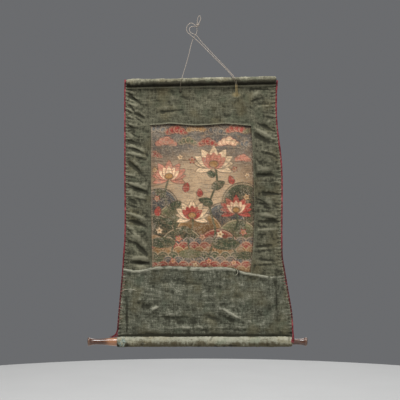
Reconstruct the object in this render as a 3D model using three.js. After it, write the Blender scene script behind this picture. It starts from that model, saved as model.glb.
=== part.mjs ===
// A hanging scroll painting: a painted cloth sewn into a cloth mount, with a rolled heading along the top,
// a bound edge down both sides, a turned dowel in a casing along the bottom, and a knotted cord to hang it by.
// Millimetres, +Z up, the painted face towards -Y. The origin is where the cord's loop bears on its nail.
import * as THREE from "three";

// Cloth: thicknesses, and the gap between two pieces that touch
const MOUNT_THICKNESS = 1.6;
const PAINTING_THICKNESS = 1.2;
const PIECE_GAP = 0.4;
const PAINTING_MARGIN = 5; // how far the painting reaches behind the mount
const MOUNT_Y = 6; // middle plane of the mount, a little behind the nail

// Heading: a roll that rises to the right
const HEADING_RADIUS = 8.7;
const HEADING_LEFT = -182.4;
const HEADING_RIGHT = 191.6;
const HEADING_LEFT_Z = -166.5;
const HEADING_RIGHT_Z = -158.5;
const HEADING_Y = 2;

// Casing along the bottom, and the dowel inside it, which sits off centre to the left
const CASING_Z = -813;
const CASING_Y = 0;
const CASING_LARGEST_RADIUS = 13;
const DOWEL_RADIUS = 10.4;
const DOWEL_LEFT = -278;
const DOWEL_RIGHT = 269;

// Red binding along both sides
const BINDING_RADIUS = 2.1;
const BINDING_LEFT_TOP_Z = -158.5;
const BINDING_RIGHT_TOP_Z = -161;
const BINDING_BOTTOM_Z = -782; // where its tail begins

// Hanging cord, and the hitch of its second strand round the loop's neck
const CORD_RADIUS = 0.8;
const HITCH = { x: -3.7, y: 0, z: -23.8, radius: 4, pitch: 2.2, turns: 1.6 };

// How finely the round pieces are cut: sides round them, and steps along them
const ROLL_SIDES = 20;
const BINDING_SIDES = 7;
const BINDING_STEPS = 44;
const CORD_SIDES = 8;
const HITCH_POINTS_A_TURN = 8;

// Raised edges: how far the hem and the seam stand forward, and how wide they are
const HEM_RISE = 1.2;
const HEM_WIDTH = 4;
const SEAM_RISE = 2.4;
const SEAM_WIDTH = 4.5;

// Soft upright waves of the whole mount between the heading and the casing
const SWAY = { rise: 2.2, length: 190, lead: 0.6 };

// Outer edges of the mount, binding included
const OUTLINE = [
  { z: -150, left: -187, right: 198 },
  { z: -185, left: -188, right: 195 },
  { z: -255, left: -188, right: 195 },
  { z: -315, left: -188, right: 201 },
  { z: -345, left: -188, right: 205 },
  { z: -390, left: -188, right: 208 },
  { z: -560, left: -188, right: 208 },
  { z: -600, left: -191, right: 209 },
  { z: -630, left: -193, right: 213.5 },
  { z: -690, left: -198, right: 224 },
  { z: -750, left: -203.5, right: 233.5 },
  { z: -805, left: -207.5, right: 236 },
];

// Inner edges of the two side strips: beside the top panel above, beside the painting below
const STRIP_EDGES = [
  { z: -160, left: -127, right: 126 },
  { z: -250, left: -127, right: 127 },
  { z: -280, left: -122, right: 130 },
  { z: -345, left: -121, right: 134 },
  { z: -460, left: -121, right: 137 },
  { z: -530, left: -120, right: 137 },
  { z: -595, left: -118.5, right: 133 },
  { z: -650, left: -118, right: 127 },
];

// Lower edge of the top panel, and the seam along the top of the bottom panel
const TOP_HEM = [
  { x: -128, z: -272.5 },
  { x: -98, z: -270.5 },
  { x: -78, z: -268.5 },
  { x: -48, z: -270 },
  { x: -10, z: -273 },
  { x: 40, z: -270.5 },
  { x: 65, z: -268.5 },
  { x: 100, z: -271.5 },
  { x: 132, z: -274 },
];
const BOTTOM_SEAM = [
  { x: -195, z: -629 },
  { x: -170, z: -633 },
  { x: -150, z: -634 },
  { x: -123, z: -628 },
  { x: -98, z: -625 },
  { x: 0, z: -627 },
  { x: 88, z: -630 },
  { x: 106, z: -637 },
  { x: 140, z: -643 },
  { x: 177, z: -649 },
  { x: 215, z: -648 },
];

// Folds of the mount: the middle of each, its half length and half width, its slant in degrees from level,
// and how far it stands forward, or lies back where the rise is negative
const LEFT_FOLDS = [
  { x: -168, z: -202, reach: 14, width: 7, slant: -35, rise: -1.8 },
  { x: -148, z: -245, reach: 13, width: 7, slant: -50, rise: -1.7 },
  { x: -170, z: -284, reach: 14, width: 7, slant: -40, rise: -1.9 },
  { x: -166, z: -312, reach: 17, width: 7, slant: 0, rise: -1.9 },
  { x: -163, z: -346, reach: 22, width: 9, slant: -10, rise: 2.2 },
  { x: -162, z: -378, reach: 23, width: 7, slant: -42, rise: -3.4 },
  { x: -153, z: -421, reach: 26, width: 7, slant: -3, rise: 2.6 },
  { x: -153, z: -434, reach: 26, width: 6.5, slant: -18, rise: -2.8 },
  { x: -166, z: -465, reach: 18, width: 8, slant: -6, rise: -2.2 },
  { x: -154, z: -500, reach: 26, width: 7, slant: -20, rise: 2.7 },
  { x: -156, z: -517, reach: 23, width: 7, slant: -16, rise: -3.2 },
  { x: -158, z: -549, reach: 25, width: 9, slant: -45, rise: 2.6 },
  { x: -146, z: -583, reach: 18, width: 8, slant: -42, rise: -3.2 },
  { x: -146, z: -604, reach: 19, width: 6.5, slant: 0, rise: 2.6 },
  { x: -146, z: -616, reach: 19, width: 6, slant: -4, rise: -3.4 },
];
const RIGHT_FOLDS = [
  { x: 140, z: -194, reach: 17, width: 7, slant: 28, rise: 1.4 },
  { x: 164, z: -229, reach: 21, width: 7, slant: 0, rise: 1.3 },
  { x: 168, z: -275, reach: 21, width: 7, slant: -30, rise: -2.6 },
  { x: 160, z: -292, reach: 25, width: 7.5, slant: -33, rise: 2.7 },
  { x: 151, z: -304, reach: 19, width: 7, slant: -30, rise: -2.2 },
  { x: 161, z: -379, reach: 18, width: 11, slant: 0, rise: 2.7 },
  { x: 165, z: -396, reach: 19, width: 7, slant: 0, rise: -2.8 },
  { x: 155, z: -419, reach: 14, width: 10, slant: 0, rise: 2 },
  { x: 173, z: -444, reach: 20, width: 7, slant: -6, rise: -2.4 },
  { x: 160, z: -469, reach: 15, width: 8, slant: -20, rise: -2 },
  { x: 170, z: -496, reach: 21, width: 7, slant: -6, rise: 2.4 },
  { x: 180, z: -511, reach: 21, width: 7, slant: -8, rise: -2.6 },
  { x: 165, z: -534, reach: 25, width: 7, slant: 4, rise: 1.8 },
  { x: 162, z: -572, reach: 25, width: 10, slant: 10, rise: -1.4 },
];
const TOP_FOLDS = [
  { x: -83, z: -237, reach: 17, width: 7, slant: 8, rise: -1.7 },
  { x: -64, z: -229, reach: 22, width: 7, slant: 6, rise: 1.3 },
  { x: -68, z: -212, reach: 15, width: 9, slant: 0, rise: -1.2 },
  { x: 40, z: -225, reach: 40, width: 14, slant: 15, rise: 1.2 },
];
const BOTTOM_FOLDS = [
  { x: -50, z: -664, reach: 120, width: 15, slant: 0, rise: -2 },
  { x: -174, z: -684, reach: 19, width: 7, slant: 0, rise: 1.8 },
  { x: -129, z: -726, reach: 11, width: 11, slant: 0, rise: -3 },
  { x: -111, z: -728, reach: 27, width: 8, slant: 35, rise: 2.6 },
  { x: -75, z: -747, reach: 20, width: 8, slant: -4, rise: 2 },
  { x: -52, z: -761, reach: 52, width: 12, slant: -4, rise: -3 },
  { x: 37, z: -755, reach: 28, width: 10, slant: -18, rise: -3 },
  { x: 79, z: -742, reach: 32, width: 8, slant: -30, rise: 3.2 },
  { x: 118, z: -706, reach: 32, width: 16, slant: 20, rise: 2.6 },
  { x: 170, z: -738, reach: 26, width: 13, slant: 45, rise: -2.6 },
  { x: 196, z: -716, reach: 70, width: 8, slant: -86, rise: -1.6 },
  { x: -182, z: -740, reach: 70, width: 7, slant: 88, rise: -1.3 },
  { x: -117, z: -784, reach: 27, width: 8, slant: 0, rise: 1.6 },
];
const FOLDS = [...LEFT_FOLDS, ...RIGHT_FOLDS, ...TOP_FOLDS, ...BOTTOM_FOLDS];

// The folds die away over this distance from the painting, and from the heading and the casing
const CALM_BY_PAINTING = { none: 9, full: 18 };
const CALM_BY_ROLLS = { none: 0, full: 13 };

// Heading: how much less than its full radius the roll is at each share of its length
const HEADING_SHRINK = [
  { share: 0, less: 1.6 },
  { share: 0.015, less: 0.2 },
  { share: 0.15, less: 0 },
  { share: 0.3, less: 0.4 },
  { share: 0.5, less: 0.1 },
  { share: 0.7, less: 0.4 },
  { share: 0.88, less: 0 },
  { share: 0.985, less: 0.3 },
  { share: 1, less: 1.6 },
];

// Outside of the casing: slightly fuller at its left end
const CASING_OUTSIDE = [
  { x: -205, radius: 12.4 },
  { x: -196, radius: 13 },
  { x: -160, radius: 12.4 },
  { x: -100, radius: 12.7 },
  { x: -40, radius: 12.3 },
  { x: 30, radius: 12.7 },
  { x: 95, radius: 12.3 },
  { x: 160, radius: 12.6 },
  { x: 222, radius: 12.5 },
  { x: 231, radius: 12 },
];

// Knob at each end of the dowel, from its end face inwards: flange, waist and shoulder
const KNOB = [
  { inwards: 0, radius: 9.2 },
  { inwards: 1.5, radius: 10.6 },
  { inwards: 4.5, radius: 10.7 },
  { inwards: 7, radius: 9.4 },
  { inwards: 13, radius: 8 },
  { inwards: 24, radius: 7.4 },
  { inwards: 38, radius: 7.8 },
  { inwards: 52, radius: 9 },
  { inwards: 64, radius: 10.1 },
  { inwards: 72, radius: DOWEL_RADIUS },
];

// Lower end of each binding: the left one kicks out over the dowel, the right one turns forward past the casing
const LEFT_TAIL = [
  { x: -206.2, y: 6, z: -790 },
  { x: -211, y: 5.5, z: -795.5 },
  { x: -220, y: 5, z: -798 },
];
const RIGHT_TAIL = [
  { x: 233.9, y: 4, z: -791 },
  { x: 234.3, y: -2, z: -798 },
  { x: 234.4, y: -8.5, z: -804 },
  { x: 234.4, y: -10.8, z: -812 },
];

function curveThrough(rows, place, value) {
  const ordered = [...rows].sort((a, b) => a[place] - b[place]);
  const places = ordered.map((row) => row[place]);
  const values = ordered.map((row) => row[value]);
  const curve = new THREE.CubicInterpolant(places, values, 1);
  return (at) => curve.evaluate(at)[0];
}

const outlineLeft = curveThrough(OUTLINE, "z", "left");
const outlineRight = curveThrough(OUTLINE, "z", "right");
const stripLeft = curveThrough(STRIP_EDGES, "z", "left");
const stripRight = curveThrough(STRIP_EDGES, "z", "right");
const topHem = curveThrough(TOP_HEM, "x", "z");
const bottomSeam = curveThrough(BOTTOM_SEAM, "x", "z");

function headingAxisZ(x) {
  const share = (x - HEADING_LEFT) / (HEADING_RIGHT - HEADING_LEFT);
  return THREE.MathUtils.lerp(HEADING_LEFT_Z, HEADING_RIGHT_Z, share);
}

// Height of the surface of a roll above or below its axis, where the mount's front face meets it
function rollHeightAtMount(radius, rollY) {
  const depth = MOUNT_Y - MOUNT_THICKNESS / 2 - rollY;
  return Math.sqrt(radius ** 2 - depth ** 2);
}

const belowHeading = rollHeightAtMount(HEADING_RADIUS, HEADING_Y) + PIECE_GAP;
const aboveCasing = rollHeightAtMount(CASING_LARGEST_RADIUS, CASING_Y) + PIECE_GAP;

const mountTop = (x) => headingAxisZ(x) - belowHeading;
const mountBottom = () => CASING_Z + aboveCasing;

// Folds lie flat beside the painting and where the cloth meets the heading and the casing
function slack(x, z) {
  const outside = Math.max(stripLeft(z) - x, x - stripRight(z), z - topHem(x), bottomSeam(x) - z);
  const fromRoll = Math.min(mountTop(x) - z, z - mountBottom(x));
  const { smoothstep } = THREE.MathUtils;
  return (
    smoothstep(outside, CALM_BY_PAINTING.none, CALM_BY_PAINTING.full) *
    smoothstep(fromRoll, CALM_BY_ROLLS.none, CALM_BY_ROLLS.full)
  );
}

function foldRise(fold, x, z) {
  const turn = THREE.MathUtils.degToRad(fold.slant);
  const along = (x - fold.x) * Math.cos(turn) + (z - fold.z) * Math.sin(turn);
  const across = (z - fold.z) * Math.cos(turn) - (x - fold.x) * Math.sin(turn);
  return fold.rise * Math.exp(-((along / fold.reach) ** 2) - (across / fold.width) ** 2);
}

function swayRise(x, z) {
  const hang = THREE.MathUtils.clamp((headingAxisZ(x) - z) / (headingAxisZ(x) - CASING_Z), 0, 1);
  return SWAY.rise * Math.sin((2 * Math.PI * x) / SWAY.length + SWAY.lead) * Math.sin(Math.PI * hang);
}

// Middle of the mount's cloth at a place on its face
function mountY(x, z) {
  const folds = FOLDS.reduce((sum, fold) => sum + foldRise(fold, x, z), 0);
  return MOUNT_Y - swayRise(x, z) - slack(x, z) * folds;
}

const MOUNT_CLOTH = { color: 0x5c5a49, roughness: 0.9 };
const ROLLED_CLOTH = { color: 0x736f5a, roughness: 0.9 };

const scroll = new THREE.Group();

function addPiece(name, geometry, look, parent = scroll) {
  const piece = new THREE.Mesh(geometry, new THREE.MeshStandardMaterial({ ...look, metalness: 0 }));
  piece.name = name;
  parent.add(piece);
}

// A sheet between four edges: left and right are functions of the height, top and bottom of the place across.
// Its middle lies at middleY, its front stands further forward by relief, and spread crowds its rows together.
function clothSheet({ left, right, top, bottom, columns, rows, thickness, middleY, relief, spread }) {
  const geometry = new THREE.BoxGeometry(1, 1, 1, columns, 1, rows);
  const points = geometry.attributes.position;
  const { lerp } = THREE.MathUtils;
  for (let index = 0; index < points.count; index += 1) {
    const across = points.getX(index) + 0.5;
    const front = points.getY(index) < 0;
    const down = spread(0.5 - points.getZ(index));
    let z = lerp(top(0), bottom(0), down);
    let x = lerp(left(z), right(z), across);
    for (let settle = 0; settle < 3; settle += 1) {
      z = lerp(top(x), bottom(x), down);
      x = lerp(left(z), right(z), across);
    }
    const middle = middleY(x, z);
    const y = front ? middle - thickness / 2 - relief(x, z) : middle + thickness / 2;
    points.setXYZ(index, x, y, z);
  }
  geometry.computeVertexNormals();
  return geometry;
}

const CROWDING = 1.5; // above 1, rows crowd together at one edge
const evenly = (share) => share;
const crowdedAtTop = (share) => share ** CROWDING;
const crowdedAtBottom = (share) => 1 - (1 - share) ** CROWDING;
const flat = () => 0;
const ridge = (distance, rise, width) => rise * Math.exp(-((distance / width) ** 2));
const mountSheet = { thickness: MOUNT_THICKNESS, middleY: mountY, relief: flat, spread: evenly };
const insideBinding = 2 * BINDING_RADIUS + PIECE_GAP;

addPiece(
  "top_panel",
  clothSheet({
    ...mountSheet,
    left: (z) => stripLeft(z) + PIECE_GAP / 2,
    right: (z) => stripRight(z) - PIECE_GAP / 2,
    top: mountTop,
    bottom: topHem,
    columns: 24,
    rows: 11,
    relief: (x, z) => ridge(z - topHem(x), HEM_RISE, HEM_WIDTH),
    spread: crowdedAtBottom,
  }),
  MOUNT_CLOTH,
);

const stripSheet = {
  ...mountSheet,
  top: mountTop,
  bottom: (x) => bottomSeam(x) + PIECE_GAP,
  columns: 7,
  rows: 64,
};
addPiece(
  "left_side_panel",
  clothSheet({
    ...stripSheet,
    left: (z) => outlineLeft(z) + insideBinding,
    right: (z) => stripLeft(z) - PIECE_GAP / 2,
  }),
  MOUNT_CLOTH,
);
addPiece(
  "right_side_panel",
  clothSheet({
    ...stripSheet,
    left: (z) => stripRight(z) + PIECE_GAP / 2,
    right: (z) => outlineRight(z) - insideBinding,
  }),
  MOUNT_CLOTH,
);

addPiece(
  "bottom_panel",
  clothSheet({
    ...mountSheet,
    left: (z) => outlineLeft(z) + insideBinding,
    right: (z) => outlineRight(z) - insideBinding,
    top: bottomSeam,
    bottom: mountBottom,
    columns: 42,
    rows: 17,
    relief: (x, z) => ridge(z - bottomSeam(x) + SEAM_WIDTH, SEAM_RISE, SEAM_WIDTH),
    spread: crowdedAtTop,
  }),
  MOUNT_CLOTH,
);

// The painting hangs just behind the mount and follows its sway alone
const paintingBehind = MOUNT_THICKNESS / 2 + PIECE_GAP + PAINTING_THICKNESS / 2;
addPiece(
  "painting_panel",
  clothSheet({
    left: (z) => stripLeft(z) - PAINTING_MARGIN,
    right: (z) => stripRight(z) + PAINTING_MARGIN,
    top: (x) => topHem(x) + PAINTING_MARGIN,
    bottom: (x) => bottomSeam(x) - PAINTING_MARGIN,
    columns: 13,
    rows: 16,
    thickness: PAINTING_THICKNESS,
    middleY: (x, z) => MOUNT_Y - swayRise(x, z) + paintingBehind,
    relief: flat,
    spread: evenly,
  }),
  { color: 0x8e7661, roughness: 0.8 },
);

// A solid turned about the X axis from a profile of radii along it
function turned(profile) {
  const points = profile.map(({ x, radius }) => new THREE.Vector2(radius, x));
  const geometry = new THREE.LatheGeometry(points, ROLL_SIDES);
  geometry.rotateZ(-Math.PI / 2);
  return geometry;
}

// Heading: the cloth rolled round a batten, its ends turned in
const headingLength = HEADING_RIGHT - HEADING_LEFT;
const headingTilt = Math.atan2(HEADING_RIGHT_Z - HEADING_LEFT_Z, headingLength);
const heading = new THREE.Group();
heading.position.set((HEADING_LEFT + HEADING_RIGHT) / 2, HEADING_Y, (HEADING_LEFT_Z + HEADING_RIGHT_Z) / 2);
heading.rotation.y = -headingTilt;
scroll.add(heading);
const headingSurface = HEADING_SHRINK.map(({ share, less }) => ({
  x: (share - 0.5) * headingLength,
  radius: HEADING_RADIUS - less,
}));
const headingProfile = [
  { x: -headingLength / 2, radius: 0 },
  ...headingSurface,
  { x: headingLength / 2, radius: 0 },
];
addPiece("heading_roll", turned(headingProfile), ROLLED_CLOTH, heading);

// Casing: a cloth tube that stops short of both knobs, open at its ends
const casingBore = DOWEL_RADIUS + PIECE_GAP;
const casingLeft = CASING_OUTSIDE[0].x;
const casingRight = CASING_OUTSIDE[CASING_OUTSIDE.length - 1].x;
const casingProfile = [
  { x: casingLeft, radius: casingBore },
  ...CASING_OUTSIDE,
  { x: casingRight, radius: casingBore },
  { x: casingLeft, radius: casingBore },
];
const lowerEdge = new THREE.Group();
lowerEdge.position.set(0, CASING_Y, CASING_Z);
scroll.add(lowerEdge);
addPiece("bottom_casing", turned(casingProfile), ROLLED_CLOTH, lowerEdge);

const dowelProfile = [
  { x: DOWEL_LEFT, radius: 0 },
  ...KNOB.map(({ inwards, radius }) => ({ x: DOWEL_LEFT + inwards, radius })),
  ...KNOB.map(({ inwards, radius }) => ({ x: DOWEL_RIGHT - inwards, radius })).reverse(),
  { x: DOWEL_RIGHT, radius: 0 },
];
addPiece("dowel", turned(dowelProfile), { color: 0x8a5a3e, roughness: 0.35 }, lowerEdge);

// A curve that takes the same number of steps between each two of its points, so that bends get short steps
class RoutedCurve extends THREE.CatmullRomCurve3 {
  getUtoTmapping(share) {
    return share;
  }
}

function tube(route, radius, sides, stepsEach) {
  const circle = new THREE.EllipseCurve(0, 0, radius, radius).getPoints(sides);
  const section = new THREE.Shape(circle.slice(0, sides));
  const extrudePath = new RoutedCurve(route);
  const steps = (route.length - 1) * stepsEach;
  return new THREE.ExtrudeGeometry(section, { steps, extrudePath, bevelEnabled: false });
}

// Binding: it starts beside the heading, follows the mount's edge, and its lower end turns off by its own tail
const BINDING_LOOK = { color: 0x7c3438, roughness: 0.85 };
function bindingRoute(edgeX, topZ, tail) {
  const route = [];
  for (let step = 0; step <= BINDING_STEPS; step += 1) {
    const z = THREE.MathUtils.lerp(topZ, BINDING_BOTTOM_Z, step / BINDING_STEPS);
    const x = edgeX(z);
    route.push(new THREE.Vector3(x, mountY(x, z), z));
  }
  return [...route, ...tail.map(({ x, y, z }) => new THREE.Vector3(x, y, z))];
}

const leftBinding = bindingRoute((z) => outlineLeft(z) + BINDING_RADIUS, BINDING_LEFT_TOP_Z, LEFT_TAIL);
const rightBinding = bindingRoute((z) => outlineRight(z) - BINDING_RADIUS, BINDING_RIGHT_TOP_Z, RIGHT_TAIL);
addPiece("left_edge_binding", tube(leftBinding, BINDING_RADIUS, BINDING_SIDES, 1), BINDING_LOOK);
addPiece("right_edge_binding", tube(rightBinding, BINDING_RADIUS, BINDING_SIDES, 1), BINDING_LOOK);

// Hanging cord: each end stops at its hole in the cloth. From the left hole it runs over the heading, up the
// left leg, round the nail, once round the slack ring and down the right leg.
const CORD_LOOK = { color: 0x6b6660, roughness: 0.9 };

function onMount(x, z) {
  return new THREE.Vector3(x, mountY(x, z) - MOUNT_THICKNESS / 2 - PIECE_GAP - CORD_RADIUS, z);
}

const hangingRoute = [
  onMount(-47.5, -187.5),
  new THREE.Vector3(-46.2, -6.6, -168.8),
  new THREE.Vector3(-45, -7.95, -163),
  new THREE.Vector3(-43.25, -7.5, -156.75),
  new THREE.Vector3(-28.6, -4.4, -106.75),
  new THREE.Vector3(-14, 1.3, -54.25),
  new THREE.Vector3(-8.2, 1.3, -46),
  new THREE.Vector3(-5.6, 1.2, -37.5),
  new THREE.Vector3(-6.1, 1, -29.5),
  new THREE.Vector3(-5.4, 0.9, -21.5),
  new THREE.Vector3(-4.6, 0.5, -12),
  new THREE.Vector3(-3.2, 0.2, -4.5),
  new THREE.Vector3(0.2, 0, 0.8),
  new THREE.Vector3(3.4, -0.2, -4.8),
  new THREE.Vector3(2.4, -0.5, -12),
  new THREE.Vector3(-1, -0.85, -17.8),
  new THREE.Vector3(-2, -0.95, -22.3),
  new THREE.Vector3(-2.8, -1.1, -25.6),
  new THREE.Vector3(-5.6, -1.3, -27.6),
  new THREE.Vector3(-9, -1.35, -25.6),
  new THREE.Vector3(-13.5, -1.2, -20.8),
  new THREE.Vector3(-20.75, -1, -18),
  new THREE.Vector3(-28, -1, -22.5),
  new THREE.Vector3(-31.8, -1, -30.5),
  new THREE.Vector3(-30.5, -1.1, -39.5),
  new THREE.Vector3(-23, -1.2, -46.6),
  new THREE.Vector3(-14.6, -1.3, -53.6),
  new THREE.Vector3(-2.2, -1.8, -64.6),
  new THREE.Vector3(39.25, -4.2, -106.75),
  new THREE.Vector3(79.25, -7.2, -148),
  new THREE.Vector3(86.8, -7.95, -159.8),
  new THREE.Vector3(88.6, -7.6, -163.8),
  onMount(91.75, -199.25),
];
addPiece("hanging_cord", tube(hangingRoute, CORD_RADIUS, CORD_SIDES, 2), CORD_LOOK);

// Second strand: out of the cloth beside the first, up the right leg, round inside the ring, and hitched
const hitchPoints = Math.round(HITCH.turns * HITCH_POINTS_A_TURN);
const hitchRoute = Array.from({ length: hitchPoints + 1 }, (_, point) => {
  const turn = point / HITCH_POINTS_A_TURN;
  const angle = Math.PI / 2 - 2 * Math.PI * turn;
  return new THREE.Vector3(
    HITCH.x + HITCH.radius * Math.cos(angle),
    HITCH.y + HITCH.radius * Math.sin(angle),
    HITCH.z + HITCH.pitch * turn,
  );
});
const returnRoute = [
  onMount(94.9, -196.75),
  new THREE.Vector3(91.9, -7.6, -163.9),
  new THREE.Vector3(90.1, -7.95, -159.4),
  new THREE.Vector3(81.2, -7, -146.4),
  new THREE.Vector3(42, -4, -104.1),
  new THREE.Vector3(18.2, -2.4, -78.6),
  new THREE.Vector3(2, -1.6, -60.8),
  new THREE.Vector3(-4.6, -1.4, -51.6),
  new THREE.Vector3(-11.5, -1.3, -46.4),
  new THREE.Vector3(-17.5, -1, -44),
  new THREE.Vector3(-22.8, -0.6, -40.6),
  new THREE.Vector3(-24.6, -0.3, -34.5),
  new THREE.Vector3(-22.3, 0.2, -28.4),
  new THREE.Vector3(-17, 0.7, -26.2),
  new THREE.Vector3(-11, 2.2, -26.8),
  new THREE.Vector3(-7.2, 3.7, -25.2),
  ...hitchRoute,
];
addPiece("return_cord", tube(returnRoute, CORD_RADIUS, CORD_SIDES, 1), CORD_LOOK);

export default scroll;
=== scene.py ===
"""A hanging scroll painting in its cloth mount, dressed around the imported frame.

Shapes are worked out in millimetres, in the frame's own axes, and become metres when a mesh is made."""
import math

import bpy
import numpy as np
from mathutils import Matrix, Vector


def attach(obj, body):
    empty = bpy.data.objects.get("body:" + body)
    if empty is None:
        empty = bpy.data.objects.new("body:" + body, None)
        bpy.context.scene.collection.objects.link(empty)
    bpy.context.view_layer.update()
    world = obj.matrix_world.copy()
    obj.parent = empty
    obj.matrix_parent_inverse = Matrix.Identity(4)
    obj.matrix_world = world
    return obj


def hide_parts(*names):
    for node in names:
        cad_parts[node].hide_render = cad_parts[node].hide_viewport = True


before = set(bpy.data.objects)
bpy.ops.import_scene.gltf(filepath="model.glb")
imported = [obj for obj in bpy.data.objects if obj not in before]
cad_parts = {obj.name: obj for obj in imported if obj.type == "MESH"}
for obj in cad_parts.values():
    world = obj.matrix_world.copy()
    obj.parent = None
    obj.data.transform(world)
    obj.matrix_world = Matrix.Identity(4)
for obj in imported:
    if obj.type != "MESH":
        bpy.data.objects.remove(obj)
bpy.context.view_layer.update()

# Stage and camera. The scroll hangs free, so there is only a pale floor well below it. A wide soft lamp high
# in front lights the upper side of every fold and roll, a weak one fills the shade and one lights the back.
# The camera is level.
MM = 0.001
PICTURE_WIDTH = 1.0
PICTURE_CENTRE = Vector((0.00175, 0.005, -0.45925))
CAMERA_DISTANCE = 2.6
SENSOR_WIDTH = 36.0
FLOOR_Z = -1.16
FLOOR_RADIUS = 2.0
FLOOR_SIDES = 96
LAMPS = {
    "key_lamp": {"place": (-0.45, -1.35, 2.2), "size": 1.1, "watts": 112},
    "fill_lamp": {"place": (0.9, -2.2, -0.3), "size": 1.6, "watts": 8},
    "back_lamp": {"place": (0.4, 2.2, 1.5), "size": 1.6, "watts": 32},
}
WORLD_COLOUR = (0.86, 0.88, 0.92)
WORLD_STRENGTH = 0.17


class Shade:
    """One socket of a finish. Sums and products with it add Math nodes, and step() makes it a soft mask."""

    def __init__(self, finish, socket):
        self.finish = finish
        self.socket = socket

    def math(self, operation, left, right):
        """One Math node: the operation on two numbers."""
        return self.finish.node("ShaderNodeMath", {"operation": operation}, {0: left, 1: right})

    def __add__(self, other):
        return self.math("ADD", self, other)

    def __sub__(self, other):
        return self.math("SUBTRACT", self, other)

    def __rsub__(self, other):
        return self.math("SUBTRACT", other, self)

    def __mul__(self, other):
        return self.math("MULTIPLY", self, other)

    def step(self, low, high):
        """0 up to low, 1 from high on, and a smooth cubic of the share between them."""
        return self.finish.node(
            "ShaderNodeMapRange",
            {"interpolation_type": "SMOOTHSTEP"},
            {"Value": self, "From Min": low, "From Max": high},
        )


class Finish:
    """A material in the making: node() adds any node, and mix() blends two colours by a mask."""

    def __init__(self, name):
        self.material = bpy.data.materials.new(name)
        self.material.use_nodes = True
        self.tree = self.material.node_tree
        self.shader = self.tree.nodes["Principled BSDF"]

    def join(self, node, key, value):
        """Links a shade to a socket, or sets the socket to a plain value."""
        if isinstance(key, int):
            socket = node.inputs[key]
        else:
            socket = next(each for each in node.inputs if key in (each.identifier, each.name))
        if isinstance(value, Shade):
            self.tree.links.new(value.socket, socket)
        elif socket.type == "RGBA":
            socket.default_value = (*value[:3], 1.0)
        else:
            socket.default_value = value

    def node(self, kind, settings=None, inputs=None, output=0):
        """Adds a node with its settings and inputs, and gives one of its outputs."""
        made = self.tree.nodes.new(kind)
        for key, value in (settings or {}).items():
            setattr(made, key, value)
        for key, value in (inputs or {}).items():
            self.join(made, key, value)
        return Shade(self, made.outputs[output])

    def mix(self, mask, first, second):
        """The first colour where the mask is 0, the second where it is 1."""
        inputs = {"Factor_Float": mask, "A_Color": first, "B_Color": second}
        return self.node("ShaderNodeMix", {"data_type": "RGBA"}, inputs, output=2)

    def place(self, stretch=(1.0, 1.0, 1.0)):
        """The piece's own coordinates in metres, stretched along each axis."""
        own = self.node("ShaderNodeTexCoord", output=3)
        return self.node("ShaderNodeMapping", None, {"Vector": own, "Scale": stretch})

    def noise(self, scale, detail=2.0, stretch=(1.0, 1.0, 1.0), roughness=0.5):
        """Noise fixed to the piece, with scale times stretch cells to the metre along each axis."""
        inputs = {"Vector": self.place(stretch), "Scale": scale, "Detail": detail, "Roughness": roughness}
        return self.node("ShaderNodeTexNoise", None, inputs)

    def value(self, name):
        """A number that the mesh holds at each point."""
        return self.node("ShaderNodeAttribute", {"attribute_name": name}, output=2)

    def surface(self, **sockets):
        """Sets the shader's sockets, named with underscores for spaces, and gives the material."""
        for key, value in sockets.items():
            self.join(self.shader, key.replace("_", " "), value)
        return self.material

    def bump(self, height, distance, strength=1.0):
        """A normal tilted by the slope of a height that spans the distance in metres."""
        inputs = {"Height": height, "Distance": distance, "Strength": strength}
        return self.node("ShaderNodeBump", None, inputs)


def add_object(name, data):
    """Puts a mesh, lamp or camera into the scene under a name."""
    made = bpy.data.objects.new(name, data)
    bpy.context.collection.objects.link(made)
    return made


def soft_lamp(name, place, size, watts):
    """A square lamp that faces the middle of the scroll."""
    lamp = bpy.data.lights.new(name, "AREA")
    lamp.size = size
    lamp.energy = watts
    made = add_object(name, lamp)
    made.location = place
    made.rotation_euler = (PICTURE_CENTRE - Vector(place)).to_track_quat("-Z", "Y").to_euler()


def mesh_object(name, points, faces, material, values=None, colours=None):
    """A piece from points in millimetres, its faces and its finish.
    It can hold named numbers or colours at each point."""
    mesh = bpy.data.meshes.new(name)
    mesh.from_pydata((points.reshape(-1, 3) * MM).tolist(), [], faces)
    mesh.polygons.foreach_set("use_smooth", np.ones(len(mesh.polygons), dtype=bool))
    for key, numbers in (values or {}).items():
        layer = mesh.attributes.new(key, "FLOAT", "POINT")
        layer.data.foreach_set("value", np.ascontiguousarray(numbers, dtype=np.float32).ravel())
    for key, shades in (colours or {}).items():
        layer = mesh.attributes.new(key, "FLOAT_COLOR", "POINT")
        solid = np.concatenate([shades.reshape(-1, 3), np.ones((shades.size // 3, 1))], axis=1)
        layer.data.foreach_set("color", solid.astype(np.float32).ravel())
    mesh.materials.append(material)
    return add_object(name, mesh)


def floor_finish():
    """A soft noise between two near shades of pale grey."""
    finish = Finish("pale_floor")
    grain = finish.noise(6.0, detail=3.0)
    colour = finish.mix(grain, (0.62, 0.62, 0.61), (0.66, 0.66, 0.65))
    return finish.surface(Base_Color=colour, Roughness=0.8)


floor_turn = np.linspace(0, 2 * np.pi, FLOOR_SIDES, endpoint=False)
floor_rim = np.stack([np.cos(floor_turn), np.sin(floor_turn)], axis=1) * FLOOR_RADIUS
floor_points = np.concatenate([floor_rim, np.full((FLOOR_SIDES, 1), FLOOR_Z)], axis=1) / MM
mesh_object("floor", floor_points, [list(range(FLOOR_SIDES))], floor_finish())

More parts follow.
